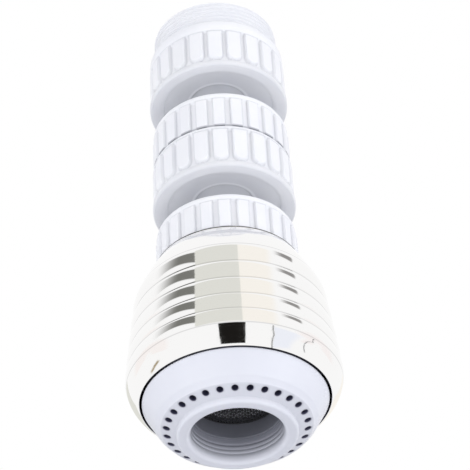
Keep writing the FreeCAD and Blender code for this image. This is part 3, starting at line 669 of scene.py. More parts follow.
@dataclass(frozen=True)
class ChromePlate:
    """Bright plating on plastic: a slow ripple, fine haze, faint wiping marks round the part and painted dark
    shade lines at its creases.
    """

    name: str = "chrome_plating"
    colour: Colour = (0.93, 0.925, 0.92)
    painted_crease_shade: Colour = (0.10, 0.10, 0.115)
    haze: float = 0.045
    haze_spread: Point = (0.0, 0.05)
    wiping: Colour = (120.0, 120.0, 2200.0)
    wiping_range: Point = (0.35, 0.75)
    ripple_scale: float = 130.0
    ripple_height: float = 0.000006
    ripple_strength: float = 0.6

    def build(self) -> Material:
        """Makes the material from its sizes and colours.

        Returns:
            The material.
        """
        graph = FinishGraph(self.name)
        wipes = graph.noise(1.0, detail=4.0, stretch=self.wiping)
        ripple = graph.noise(self.ripple_scale, detail=1.0)
        return graph.finish(
            # Painted shade: dark lines at the step creases and along the neck's edge, blended in from the
            # mesh's vertex values.
            graph.blend(graph.painted_shade(), self.colour, self.painted_crease_shade),
            graph.spread(wipes, self.haze, self.haze_spread, self.wiping_range),
            graph.bump(ripple, self.ripple_height, self.ripple_strength), Metallic=1.0)


@dataclass(frozen=True)
class SealRubber:
    """Black nitrile rubber with a dusty bloom."""

    name: str = "nitrile_rubber"
    colour: Colour = (0.022, 0.022, 0.024)
    bloom: Colour = (0.075, 0.075, 0.08)
    dust_scale: float = 700.0
    dust_range: Point = (0.45, 0.8)
    dust_height: float = 0.00002
    dust_strength: float = 0.4
    roughness: float = 0.62

    def build(self) -> Material:
        """Makes the material from its colours.

        Returns:
            The material.
        """
        graph = FinishGraph(self.name)
        dust = graph.noise(self.dust_scale, detail=5.0)
        colour = graph.blend(graph.steps(dust, *self.dust_range), self.colour, self.bloom)
        return graph.finish(colour, self.roughness, graph.bump(dust, self.dust_height, self.dust_strength))


@dataclass(frozen=True)
class StainlessSteel:
    """Stainless steel with a drawn grain; the screen wire's copy is painted near black as the shade where it
    sits deep in the outlet.
    """

    name: str
    colour: Colour
    dull: Colour
    roughness: float = 0.34
    metallic: float = 1.0
    rough_spread: Point = (-0.08, 0.12)
    drawing: Colour = (300.0, 300.0, 5000.0)
    grain_range: Point = (0.4, 0.7)
    grain_height: float = 0.000004
    grain_strength: float = 0.3

    def build(self) -> Material:
        """Makes the material from its colours and roughness.

        Returns:
            The material.
        """
        graph = FinishGraph(self.name)
        grain = graph.noise(1.0, detail=3.0, stretch=self.drawing)
        return graph.finish(
            graph.blend(graph.steps(grain, *self.grain_range), self.colour, self.dull),
            graph.spread(grain, self.roughness, self.rough_spread, (0.0, 1.0)),
            graph.bump(grain, self.grain_height, self.grain_strength), Metallic=self.metallic)


def plain_wall(radius: float, level: float, angle: float) -> Point:
    """Radius of a point on a plain turned wall, with no painted shade."""
    return radius, 0.0


class Workshop:
    """The finishes and geometry trees that the pieces share."""

    def __init__(self) -> None:
        """Makes every finish and tree."""
        # The third colour of each moulded finish is its painted shade colour.
        self.white = MouldedPlastic("white_moulded", (0.88, 0.885, 0.90), (0.85, 0.857, 0.885),
                                    (0.15, 0.16, 0.20), 0.38, coat=0.05).build()
        # The turning face is the same white plastic; its finish is a darker, bluer copy that paints the shade
        # on the down-facing face.
        self.face = MouldedPlastic("face_moulded_painted_shade", (0.765, 0.776, 0.826), (0.742, 0.754, 0.808),
                                   (0.06, 0.06, 0.105), 0.36, coat=0.06).build()
        self.inner = MouldedPlastic("inner_moulded", (0.20, 0.205, 0.235), (0.17, 0.175, 0.20),
                                    (0.05, 0.05, 0.06), 0.5).build()
        self.chrome = ChromePlate().build()
        self.rubber = SealRubber().build()
        self.steel = StainlessSteel("drawn_steel", (0.52, 0.52, 0.53), (0.36, 0.36, 0.38)).build()
        # The screen wire is the same stainless steel as the drawn steel, painted near black as the shade deep
        # in the outlet.
        self.wire = StainlessSteel("screen_wire_painted_shade", (0.055, 0.055, 0.06), (0.03, 0.03, 0.034),
                                   0.6, 0.35).build()
        self.round = SectorRound()
        self.thread = ThreadCut()
        self.weave = WireWeave()

    def turned(self, name: str, outline: Sequence[Point], finish: Material, count: int = 12,
               steps: int = 16, wall: Wall = plain_wall) -> Object:
        """A turned piece made of equal sectors.

        Args:
            name: Name of the piece.
            outline: Closed half section, in millimetres.
            finish: Its material.
            count: Number of sectors.
            steps: Steps across each sector.
            wall: Radius and painted shade of a point, where the wall isn't plain.

        Returns:
            The piece.
        """
        work = SectorWork(count, steps)
        work.sheet(outline, wall, closed=True)
        return self.round.grow(name, work.ended(name + "_sector"), finish, count=count, weld=WELD)


# The piece classes


@dataclass(frozen=True)
class Piece:
    """A dressed piece: its workshop, its name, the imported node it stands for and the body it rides."""

    shop: Workshop
    name: str
    node: str
    body: Body

    def turn(self, outline: Sequence[Point], count: int, steps: int, wall: Wall) -> None:
        """Turns a half section into the white piece and dresses it."""
        piece = self.shop.turned(self.name, outline, self.shop.white, count, steps, wall)
        dress(piece, self.body, Slot.WHITE_PLASTIC, self.node)


@dataclass(frozen=True)
class GripRibs:
    """Ribs round a ring, each with soft edges and, on a nut, a round lower end; painted shade on the groove
    floors and along each rib's foot.
    """

    width: float
    base: float
    crest: float
    bottom: float
    top: float
    edge: float = 0.32
    round_end: bool = False
    # Painted shade on the groove floors and a painted dark line along the foot of each rib.
    groove_shade: float = 0.05
    foot_shade: float = 0.24
    foot_width: float = 0.2

    def wall(self, radius: float, level: float, angle: float) -> Point:
        """Wall of the ring at a point.

        Args:
            radius: The outline's radius there.
            level: Height of the point.
            angle: Angle from the middle of a rib.

        Returns:
            The radius with the rib on it, and how much painted shade the point carries.
        """
        if radius < self.base - self.edge or not self.bottom <= level < self.top:
            return radius, 0.0
        half = self.width / 2
        across = abs(angle) * self.base
        inside = min(half - across, self.top - level)
        if self.round_end and level < self.bottom + half:
            inside = min(inside, half - math.hypot(across, self.bottom + half - level))
        else:
            inside = min(inside, level - self.bottom)
        share = smooth(inside / self.edge)
        height = self.base + (self.crest - self.base) * share
        # Painted shade: a dark line where the rib meets the ring, and a little on the groove floor.
        foot = smooth(1 - abs(inside) / self.foot_width)
        return max(radius, height), max(self.foot_shade * foot, self.groove_shade * (1 - share))


@dataclass(frozen=True)
class InletCollar:
    """Collar with the male thread, the washer's seat and the spigot that goes down into the nut."""

    shop: Workshop
    shoulder: float
    node: str = "inlet_adapter"
    washer_node: str = "inlet_washer"
    washer_bore: float = 7.6
    thread_radius: float = 12.0
    thread_pitch: float = 1.0
    thread_depth: float = 0.42
    thread_start: float = 0.5
    thread_end: float = 0.2
    thread_runout: float = 0.9
    thread_rows: int = 64
    shoulder_edge: Points = ((-0.25, 0.0), (-0.07, 0.07), (0.0, 0.25))
    crown_height: float = 0.6
    crown_edge: Points = ((-0.54, -0.06), (-0.63, 0.0))
    spigot_radius: float = 11.0
    throat_radius: float = 7.0
    seat_radius: float = 10.4
    seat_edge: Points = ((0.2, 0.0), (0.05, -0.05), (0.0, -0.2))
    seat_depth: float = 3.0
    way_radius: float = 3.0
    way_rise: float = 4.0
    # Painted shade: a dark band where the collar comes out of the nut and a faint even shade over the rest of
    # the wall.
    foot_shade: float = 0.8
    foot_reach: float = 1.1
    wall_shade: float = 0.05

    def wall(self, radius: float, level: float, angle: float) -> Point:
        """Radius and painted shade of a point: painted shade where the collar comes out of the nut."""
        foot = 1 - smooth((level - self.shoulder) / self.foot_reach)
        return radius, max(self.wall_shade, self.foot_shade * foot)

    def build(self) -> None:
        """Builds the collar and its washer."""
        extent, shoulder = Extent.of(self.node), self.shoulder
        low, top = extent.bottom, extent.top
        crest, seat, way = self.thread_radius, self.seat_radius, self.way_radius
        inside = eased((way, low + self.way_rise, 0.3), (self.throat_radius, low, 0.4),
                       (self.spigot_radius, low, 0.3), (self.spigot_radius, shoulder))
        outline = (
            Outline(inside).beside((crest, shoulder), self.shoulder_edge)
            .straight((crest, top - self.crown_height), self.thread_rows)
            .beside((crest, top), self.crown_edge).beside((seat, top), self.seat_edge)
            .to((seat, top - self.seat_depth), (way, top - self.seat_depth)))
        blank = self.shop.turned("collar_blank", outline, self.shop.white, wall=self.wall)
        collar = self.shop.thread.grow(
            "thread_collar", blank, self.shop.white, crest=crest * MM, depth=self.thread_depth * MM,
            pitch=self.thread_pitch * MM, bottom=(shoulder + self.thread_start) * MM,
            top=(top - self.thread_end) * MM, runout=self.thread_runout * MM)
        dress(collar, Body.INLET, Slot.WHITE_PLASTIC, self.node)
        washer, bore = Extent.of(self.washer_node), self.washer_bore
        ring = eased((bore, washer.bottom, 0.15), (washer.reach, washer.bottom, 0.15),
                     (washer.reach, washer.top, 0.3), (bore, washer.top, 0.35))
        dress(self.shop.turned("sealing_washer", ring, self.shop.rubber), Body.INLET, Slot.SEAL_RUBBER,
              self.washer_node)


@dataclass(frozen=True)
class SocketNut(Piece):
    """Union nut: ribbed skirt under a plain band, a flared lip and a hollow dish round the ball."""

    band_height: float
    lip_radius: float = 13.25
    lip_height: float = 1.7
    lip_round: float = 0.5
    lip_edge: Points = ((0.0, -0.55), (-0.12, -0.38))
    lip_fade: Point = (0.5, 0.6)
    base_radius: float = 12.4
    base_edge: Points = ((0.12, -0.05), (0.0, 0.1))
    rib_radius: float = 13.1
    rib_width: float = 2.9
    rib_count: int = 22
    rib_rows: int = 34
    rib_start: float = 0.1
    band_radius: float = 13.0
    band_bevel: float = 0.4
    band_foot: Points = ((-0.12, -0.02), (0.0, 0.15))
    band_crown: Points = ((0.0, -0.4), (-0.06, -0.26), (-0.2, -0.08))
    mouth_radius: float = 11.2
    mouth_wall: float = 1.1
    mouth_draft: float = 0.8
    mouth_round: float = 0.3
    mouth_arc: float = 1.2
    throat_radius: float = 5.6
    dish_height: float = 2.0
    dish_round: float = 12.0
    ball_radius: float = 6.9
    seat_radius: float = 6.79485
    seat_rise: float = 4.83
    bore_radius: float = 11.05
    # Painted shade in the dish round the ball, on the lip's outer wall and in the seam on top.
    dish_shade: float = 0.22
    lip_shade: float = 0.12
    seam_height: float = 0.08
    seam_radius: float = 11.7
    seam_shade: float = 0.35

    def wall(self, ribs: GripRibs, extent: Extent, radius: float, level: float, angle: float) -> Point:
        """Wall of the nut at a point: its ribs, and painted shade in the dish, on the lip and in the seam on
        top.

        Args:
            ribs: The nut's ribs.
            extent: Levels of the nut.
            radius: The outline's radius there.
            level: Height of the point.
            angle: Angle from the middle of a rib.

        Returns:
            The radius and the painted shade.
        """
        near = 0.01
        outermost = self.band_radius + self.band_crown[-1][0]
        if self.bore_radius < radius < outermost and level > extent.top - self.seam_height - near:
            return radius, self.seam_shade
        if radius <= self.mouth_radius and level <= extent.bottom + self.dish_height:
            depth = smooth((self.mouth_radius - radius) / (self.mouth_radius - self.throat_radius))
            return radius, self.dish_shade * depth
        raised, painted_shade = ribs.wall(radius, level, angle)
        if radius <= self.lip_radius - self.lip_round:
            return raised, painted_shade
        start, reach = self.lip_fade
        lip = 1 - smooth((level - extent.bottom - self.lip_height + start) / reach)
        return raised, max(painted_shade, self.lip_shade * lip)

    def build(self) -> None:
        """Builds the nut with its ribs."""
        extent = Extent.of(self.node)
        bottom, top = extent.bottom, extent.top
        band, lip_top, seat, seam = (top - self.band_height, bottom + self.lip_height,
                                     bottom + self.seat_rise, top - self.seam_height)
        ledge = (self.mouth_radius - self.mouth_draft, bottom + self.mouth_wall)
        lip, base = self.lip_radius, self.base_radius
        ribs = GripRibs(self.rib_width, base, self.rib_radius, lip_top + self.rib_start, band, round_end=True)
        outline = (
            Outline([ledge]).arc((self.mouth_radius + self.mouth_round, bottom), self.mouth_arc, 10)
            .to((lip - self.lip_round, bottom)).arc((lip, bottom + self.lip_round), self.lip_round, 5)
            .beside((lip, lip_top), self.lip_edge).beside((base, lip_top), self.base_edge)
            .straight((base, band - self.band_bevel), self.rib_rows)
            .beside((self.band_radius, band), self.band_foot).beside((self.band_radius, top), self.band_crown)
            .to((self.seam_radius, seam), (self.seam_radius, top), (self.bore_radius, top),
                (self.bore_radius, seat), (self.seat_radius, seat))
            .arc((self.throat_radius, bottom + self.dish_height), self.ball_radius, 8, outwards=False)
            .arc(ledge, self.dish_round, 14, outwards=False))
        self.turn(outline[:-1], self.rib_count, 28, partial(self.wall, ribs, extent))


@dataclass(frozen=True)
class GripRing(Piece):
    """Coupling ring with straight ribs, a plain rim above them and a spigot below."""

    height: float
    spigot_radius: float
    way_radius: float
    radius: float = 12.35
    rib_radius: float = 12.9
    rib_width: float = 2.3
    rib_count: int = 24
    rib_edge: float = 0.26
    rib_rows: int = 40
    rib_run: float = 1.0
    rim_height: float = 1.2
    rim_edge: Points = ((-0.08, -0.02), (0.0, 0.12))
    bevel: float = 0.35
    hole_radius: float = 6.7
    foot_radius: float = 5.55
    ring_depth: float = 1.1
    foot_depth: float = 4.0
    seam_height: float = 0.08
    seam_inset: float = 0.3
    seam_edge: Points = ((-0.2, 0.0), (-0.04, 0.06), (0.0, 0.12))
    # Painted shade: a dark band along the ribs' foot, reaching higher in the grooves, and deep painted shade
    # in the seam gap below.
    seam_reach: float = 0.3
    seam_fade: float = 0.2
    seam_spread: float = 1.1
    seam_shade: float = 0.55
    gap_shade: float = 0.85

    def wall(self, ribs: GripRibs, bottom: float, radius: float, level: float, angle: float) -> Point:
        """Wall of the ring at a point: deep painted shade in the seam below, a painted dark band above it,
        ribs elsewhere.

        Args:
            ribs: The ring's ribs.
            bottom: Level of the ribs' foot.
            radius: The outline's radius there.
            level: Height of the point.
            angle: Angle from the middle of a rib.

        Returns:
            The radius and the painted shade.
        """
        near = 0.01
        if level < bottom + self.seam_height + near and radius > self.spigot_radius - near:
            return radius, self.gap_shade
        raised, painted_shade = ribs.wall(radius, level, angle)
        groove = (self.rib_radius - raised) / (self.rib_radius - self.radius)
        reach = self.seam_reach * (1 + self.seam_spread * groove)
        seam = 1 - smooth((level - bottom - reach) / self.seam_fade)
        return raised, max(painted_shade, self.seam_shade * seam)

    def build(self) -> None:
        """Builds the ring with its ribs."""
        extent = Extent.of(self.node)
        low, top, bottom = extent.bottom, extent.top, extent.top - self.height
        rim, rim_low, seam = self.radius + self.bevel, top - self.rim_height, bottom + self.seam_height
        spigot, inset, way = self.spigot_radius, self.spigot_radius + self.seam_inset, self.way_radius
        ribs = GripRibs(self.rib_width, self.radius, self.rib_radius, bottom - self.rib_run, rim_low,
                        edge=self.rib_edge)
        crown = eased((rim, rim_low), (rim, top, 0.4), (self.hole_radius, top, 0.15),
                      (self.hole_radius, top - self.ring_depth), (self.foot_radius, top - self.ring_depth))
        outline = (
            Outline([(way, low), (spigot, low), (spigot, bottom), (inset, bottom), (inset, seam)])
            .beside((self.radius, seam), self.seam_edge)
            .straight((self.radius, rim_low - self.bevel), self.rib_rows)
            .beside((rim, rim_low), self.rim_edge)
            .to(*crown[1:], (self.foot_radius, top - self.foot_depth), (way, top - self.foot_depth)))
        self.turn(outline, self.rib_count, 26, partial(self.wall, ribs, bottom))


@dataclass(frozen=True)
class BallStud(Piece):
    """Hollow ball on a stem with a six-sided flange and a foot."""

    ball_radius: float = 6.8
    flat_height: float = 4.6
    inlet_radius: float = 4.2
    inlet_depth: float = 3.0
    stem_radius: float = 3.5
    bore_radius: float = 2.2
    foot_radius: float = 5.5
    foot_length: float = 3.6
    foot_edge: Points = ((-0.3, 0.0), (0.0, 0.3))
    flange_radius: float = 7.6
    flange_flat: float = 6.9
    flange_height: float = 1.5
    flange_foot: Points = ((-0.1, 0.0), (0.0, 0.15))
    flange_crown: Points = ((0.0, -0.2), (-0.2, 0.0))
    fillet: float = 0.8
    # Painted shade on the ball and stem, where they sit in the nut's dish.
    stem_shade: float = 0.42

    def wall(self, radius: float, level: float, angle: float) -> Point:
        """Cuts the flange's six flats into the turned wall, and paints a little shade on the ball and stem.
        """
        flat = (min(radius, self.flange_flat / math.cos(angle)), 0.0)
        return flat if radius > self.ball_radius + 0.05 else (radius, self.stem_shade)

    def build(self) -> None:
        """Builds the stud."""
        extent = Extent.of(self.node)
        low, top, stem = extent.bottom, extent.top, self.stem_radius
        seat, flange = low + self.foot_length, low + self.foot_length + self.flange_height
        rim = math.sqrt(self.ball_radius ** 2 - self.flat_height ** 2)
        neck = top - self.flat_height - math.sqrt(self.ball_radius ** 2 - stem ** 2)
        outline = (
            Outline([(self.bore_radius, low)]).beside((self.foot_radius, low), self.foot_edge)
            .to((self.foot_radius, seat)).beside((self.flange_radius, seat), self.flange_foot)
            .beside((self.flange_radius, flange), self.flange_crown)
            .to((stem + self.fillet, flange))
            .arc((stem, flange + self.fillet), self.fillet, 6, outwards=False)
            .to((stem, neck)).arc((rim, top), self.ball_radius, 40)
            .to((self.inlet_radius, top), (self.bore_radius, top - self.inlet_depth)))
        self.turn(outline, 6, 32, self.wall)


@dataclass(frozen=True)
class PlatedShell:
    """Bell-shaped plated shell: a rounded lower band, five bulged steps and a long shoulder."""

    shop: Workshop
    node: str = "head_shell"
    mouth_radius: float = 16.53
    mouth_edge: Points = ((0.0, 0.12), (0.06, 0.02), (0.12, 0.0))
    band_radius: float = 18.8
    band_height: float = 3.3
    band_round: float = 7.0
    step_height: float = 3.05
    step_growth: float = 0.13
    step_count: int = 5
    step_round: float = 4.6
    round_growth: float = 0.5
    taper: float = 0.25
    taper_growth: float = 0.035
    shoulder_round: float = 60.0
    neck_radius: float = 13.4
    neck_height: float = 0.3
    neck_edge: Points = ((0.0, -0.24), (0.0, -0.12), (-0.05, -0.03), (-0.18, 0.0))
    neck_wall: float = 0.4
    bore_radius: float = 10.25
    thickness: float = 1.2
    top_wall: float = 1.8
    lip: float = 0.8
    # Painted shade: a dark line along the foot of each step, and full painted shade along the neck's edge
    # under the ring.
    line_shade: float = 0.3
    edge_height: float = 0.26

    def wall(self, top: float, rings: Points, radius: float, level: float, angle: float) -> Point:
        """Radius and painted shade of a point: painted dark lines only along the foot of each step and the
        neck's edge.
        """
        edge = level > top - self.edge_height and radius > self.neck_radius - 0.5
        return radius, 1.0 if edge else self.line_shade * any(abs(level - ring[1]) < 0.01 for ring in rings)

    def build(self) -> None:
        """Builds the shell."""
        extent = Extent.of(self.node)
        base, top, neck = extent.bottom, extent.top, self.neck_radius
        first = base + self.band_height
        rings = [(self.band_radius - self.taper * k - self.taper_growth * k * k,
                  first + self.step_height * k + self.step_growth * k * k)
                 for k in range(self.step_count + 1)]
        outline = Outline().beside((self.mouth_radius, base), self.mouth_edge)
        outline.arc(rings[0], self.band_round, 26)
        for step, ring in enumerate(rings[1:]):
            outline.arc(ring, self.step_round + self.round_growth * step, 18)
        outline.arc((neck, top - self.neck_height), self.shoulder_round, 34)
        outline.beside((neck, top), self.neck_edge).to(
            (self.bore_radius, top), (self.bore_radius, top - self.top_wall),
            (neck - self.neck_wall, top - self.top_wall), (rings[-1][0] - self.thickness, rings[-1][1]),
            (rings[0][0] - self.thickness, first), (self.mouth_radius, base + self.lip))
        shell = self.shop.turned("plated_shell", outline, self.shop.chrome, 12, 20,
                                 partial(self.wall, top, rings))
        dress(shell, Body.HEAD, Slot.CHROME_PLATE, self.node)


@dataclass(frozen=True)
class SprayFace:
    """Rotating face: rounded lip round the bore, nozzles in a sloping trough, bevel, cone and skirt.

    Each nozzle ring is given by its lean inwards, its rise, its flare and its painted shade.
    """

    shop: Workshop
    node: str = "spray_face"
    nozzle_count: int = 30
    pitch_radius: float = 12.1
    nozzle_radius: float = 0.55
    nozzle_border: float = 0.935
    nozzle_lean: float = 0.3
    nozzle_rings: tuple[tuple[float, ...], ...] = (
        (0.0, 0.0, 0.1, 0.25), (0.04, 0.1, 0.0, 1.0), (0.21, 0.7, 0.0, 1.0))
    trough_level: float = 1.68
    trough_slope: float = 0.36
    trough_inner: float = 10.46
    trough_outer: float = 13.05
    trough_edge: Points = ((0.0, 0.0), (0.06, 0.12), (0.16, 0.278))
    bevel_radius: float = 13.95
    bevel_level: float = 3.0
    bevel_edge: Points = ((-0.14, -0.12), (-0.02, 0.0), (0.09, 0.2))
    cone_radius: float = 16.18
    cone_foot: Point = (-0.1, -0.2)
    cone_edge: Points = ((-0.03, -0.06), (-0.06, 0.03))
    seam_level: float = 7.0
    seam_rise: float = 0.12
    bore_radius: float = 8.0
    bore_rise: float = 1.0
    bore_plain: float = 4.025
    bore_grooves: tuple[float, ...] = (3.5, 2.6, 1.75)
    groove: Points = ((0.0, 0.14), (0.07, 0.06), (0.07, -0.06), (0.0, -0.14))
    lip_inner: Points = ((0.05, 0.72), (0.16, 0.45), (0.3, 0.25))
    lip_flat: Points = ((8.9, 0.0), (9.1, 0.0), (9.95, 0.0), (10.4, 0.4))
    lip_rounds: Point = (0.85, 0.44)
    lip_foot: Point = (10.43, -0.1)
    ledge_level: float = 4.7
    tube_radius: float = 9.9
    cartridge_radius: float = 8.9
    chamber_radius: float = 14.0
    floor_radius: float = 13.1
    floor_level: float = 3.4
    rotor_bottom: float = 13.5
    skirt_radii: Point = (14.9, 15.35)
    # Painted shade: deepening up the bore, in the bore grooves, over the trough, and filling the gap round
    # the skirt.
    bore_shade: Point = (0.05, 0.60)
    gap_shade: float = 0.85
    trough_shade: float = 0.10
    groove_shade: float = 0.06

    def floor(self, radius: float) -> float:
        """Level of the chamber's floor at a radius."""
        return self.floor_level

    def trough(self, radius: float, rise: float = 0.0) -> float:
        """Level at a radius, so far above the trough's floor."""
        return self.trough_level + self.trough_slope * (radius - self.pitch_radius) + rise

    def wall(self, radius: float, level: float, angle: float) -> Point:
        """Wall of the face at a point: painted shade over the trough, deepening up the bore and filling the
        gap round the skirt and the tube.

        Args:
            radius: Radius of the point.
            level: Its level.
            angle: Its angle from the middle of the sector; not used.

        Returns:
            The radius and the painted shade.
        """
        near = 0.01
        if self.trough_inner - 0.05 < radius < self.trough_outer + 0.02 and level < self.bevel_level - 0.5:
            return radius, self.trough_shade
        if radius < self.bore_radius + 0.25 and level < self.ledge_level + near:
            groove = self.groove_shade if radius > self.bore_radius + 0.06 and level > self.bore_rise else 0.0
            low, high = self.bore_shade
            return radius, groove + low + (high - low) * smooth(level / self.ledge_level)
        tube = radius < self.tube_radius + near and level > self.ledge_level - near
        return radius, self.gap_shade if tube or level > self.seam_level + 0.1 else 0.0

    def build(self) -> None:
        """Builds the face in sectors with one nozzle each."""
        top = Extent.of(self.node).top
        bore, seam, floor, rotor = self.bore_radius, self.seam_level, self.floor_level, self.rotor_bottom
        skirt_inner, skirt_outer = self.skirt_radii
        inner_round, outer_round = self.lip_rounds
        flat, trough = self.lip_flat, self.trough(self.trough_inner)
        inner = Outline([(self.tube_radius, floor), (self.tube_radius, rotor), (self.cartridge_radius, rotor),
                         (self.cartridge_radius, self.ledge_level), (bore, self.ledge_level)])
        inner.straight((bore, self.bore_plain), 3)
        for level in self.bore_grooves:
            inner.beside((bore, level), self.groove)
        inner.to((bore, self.bore_rise)).beside((bore, 0.0), self.lip_inner).arc(flat[0], inner_round, 6)
        inner.to(flat[1], flat[2]).arc(flat[3], outer_round, 8)
        inner.to((self.lip_foot[0], trough + self.lip_foot[1]), (self.trough_inner, trough))
        outer = (
            Outline().beside((self.trough_outer, self.trough(self.trough_outer)), self.trough_edge)
            .beside((self.bevel_radius, self.bevel_level), self.bevel_edge)
            .straight((self.cone_radius + self.cone_foot[0], seam + self.cone_foot[1]), 8)
            .beside((self.cone_radius, seam), self.cone_edge)
            .to((skirt_outer, seam + self.seam_rise), (skirt_outer, top), (skirt_inner, top),
                (skirt_inner, rotor), (self.chamber_radius, rotor), (self.chamber_radius, seam),
                (self.floor_radius, floor)))
        work = SectorWork(self.nozzle_count, 8)
        inside, outside = (work.sheet(half, self.wall, closed=False) for half in (inner, outer))
        below, above = (
            self.plate(work, [column[start] for column in inside], [column[end] for column in outside], level)
            for start, end, level in ((-1, 0, self.trough), (0, -1, self.floor)))
        rings = [below]
        # The nozzle rings carry painted shade, darkest down the holes.
        for lean, rise, flare, painted_shade in self.nozzle_rings:
            rings.append(work.ring(below, self.pitch_radius - lean, self.nozzle_radius + flare,
                                   partial(self.trough, rise=rise), painted_shade))
        exit_radius = self.pitch_radius - self.nozzle_lean
        # The exit ring is fully in painted shade, so the nozzle holes read dark.
        rings += [work.ring(above, exit_radius, self.nozzle_radius, self.floor, 1.0), above]
        for first, second in zip(rings, rings[1:]):
            work.bridge(first, second)
        face = self.shop.round.grow("turning_face", work.ended("face_sector"), self.shop.face,
                                    count=self.nozzle_count, weld=WELD)
        dress(face, Body.FACE, Slot.WHITE_PLASTIC, self.node)

    def plate(self, work: SectorWork, inner: list[Vertex], outer: list[Vertex],
              level: Callable[[float], float]) -> list[Vertex]:
        """Lays a plate sector up to a wide ring about the nozzle.

        Args:
            work: The mesh in making.
            inner: Vertices of the plate's inner edge.
            outer: Vertices of its outer edge.
            level: Level of the plate from the radius.

        Returns:
            The wide ring, which the nozzle's own rings follow.
        """
        steps = 6
        first, last = (Vector(edge[0].co).xy.length / MM for edge in (inner, outer))
        radii = [first + (last - first) * step / steps for step in range(1, steps)]
        # Plate vertices carry the trough's painted shade.
        right, left = ([work.vertex(radius, level(radius), angle, self.trough_shade) for radius in way]
                       for way, angle in ((radii, work.half), (radii[::-1], -work.half)))
        border = [*inner, *right, *reversed(outer), *left]
        ring = work.ring(border, self.pitch_radius, self.nozzle_border, level, self.trough_shade)
        work.bridge(border, ring)
        return ring


@dataclass(frozen=True)
class Cartridge:
    """Aerator cartridge in the bore: sleeve with a lip, and two woven screens."""

    shop: Workshop
    sleeve_node: str = "aerator_sleeve"
    screens: tuple[tuple[str, str, float], ...] = (
        ("fine_wire_screen", "fine_screen", 0.5), ("coarse_wire_screen", "coarse_screen", 0.8))
    lip_radius: float = 7.6
    drop: float = 1.1
    seat_radius: float = 8.1
    rim_width: float = 0.5
    wire: float = 0.085

    def build(self) -> None:
        """Builds the sleeve and the screens."""
        sleeve = Extent.of(self.sleeve_node)
        foot, seat = sleeve.bottom - self.drop, Extent.of(self.screens[0][1]).bottom - self.drop
        outline = eased(
            (self.lip_radius, foot, 0.25), (sleeve.reach, foot), (sleeve.reach, sleeve.top),
            (self.seat_radius, sleeve.top, 0.1), (self.seat_radius, seat), (self.lip_radius, seat, 0.1))
        dress(self.shop.turned("cartridge_sleeve", outline, self.shop.inner), Body.FACE, Slot.INNER_PLASTIC,
              self.sleeve_node)
        for name, node, pitch in self.screens:
            extent = Extent.of(node)
            bottom, top, reach = extent.bottom - self.drop, extent.top - self.drop, extent.reach
            inner, radius = reach - self.rim_width, reach - self.rim_width / 2
            rim = eased((inner, bottom, 0.1), (reach, bottom, 0.1), (reach, top, 0.1), (inner, top, 0.1))
            count = int(radius / pitch) * 2 + 1
            blank = self.shop.turned(name + "_rim", rim, self.shop.wire, steps=8)
            screen = self.shop.weave.grow(
                name, blank, self.shop.wire, radius=radius * MM, pitch=pitch * MM, wire=self.wire * MM,
                level=(bottom + top) / 2 * MM, count=count, steps=4 * count)
            dress(screen, Body.FACE, Slot.STAINLESS_STEEL, node)


class CarriedNodes:
    """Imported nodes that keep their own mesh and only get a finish."""

    def __init__(self, shop: Workshop) -> None:
        """Sorts the nodes by finish.

        Args:
            shop: Workshop that holds the finishes.
        """
        self.groups = {
            shop.white: ("inlet_filter", "screen_spacer", "jet_plate"),
            shop.inner: ("head_housing", "port_plate", "distributor_disc"),
            shop.rubber: ("upper_ball_seal", "lower_ball_seal", "upper_stud_seal", "lower_stud_seal",
                          "head_gasket", "right_port_seal", "left_port_seal", "face_ring"),
            shop.steel: ("detent_ball", "detent_spring", "centre_screw", "screw_washer"),
        }

    def build(self) -> None:
        """Gives each carried node its finish."""
        for finish, names in self.groups.items():
            for name in names:
                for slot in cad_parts[name].material_slots:
                    slot.material = finish
                LOG.info("%s keeps its own shape", name)


# Studio


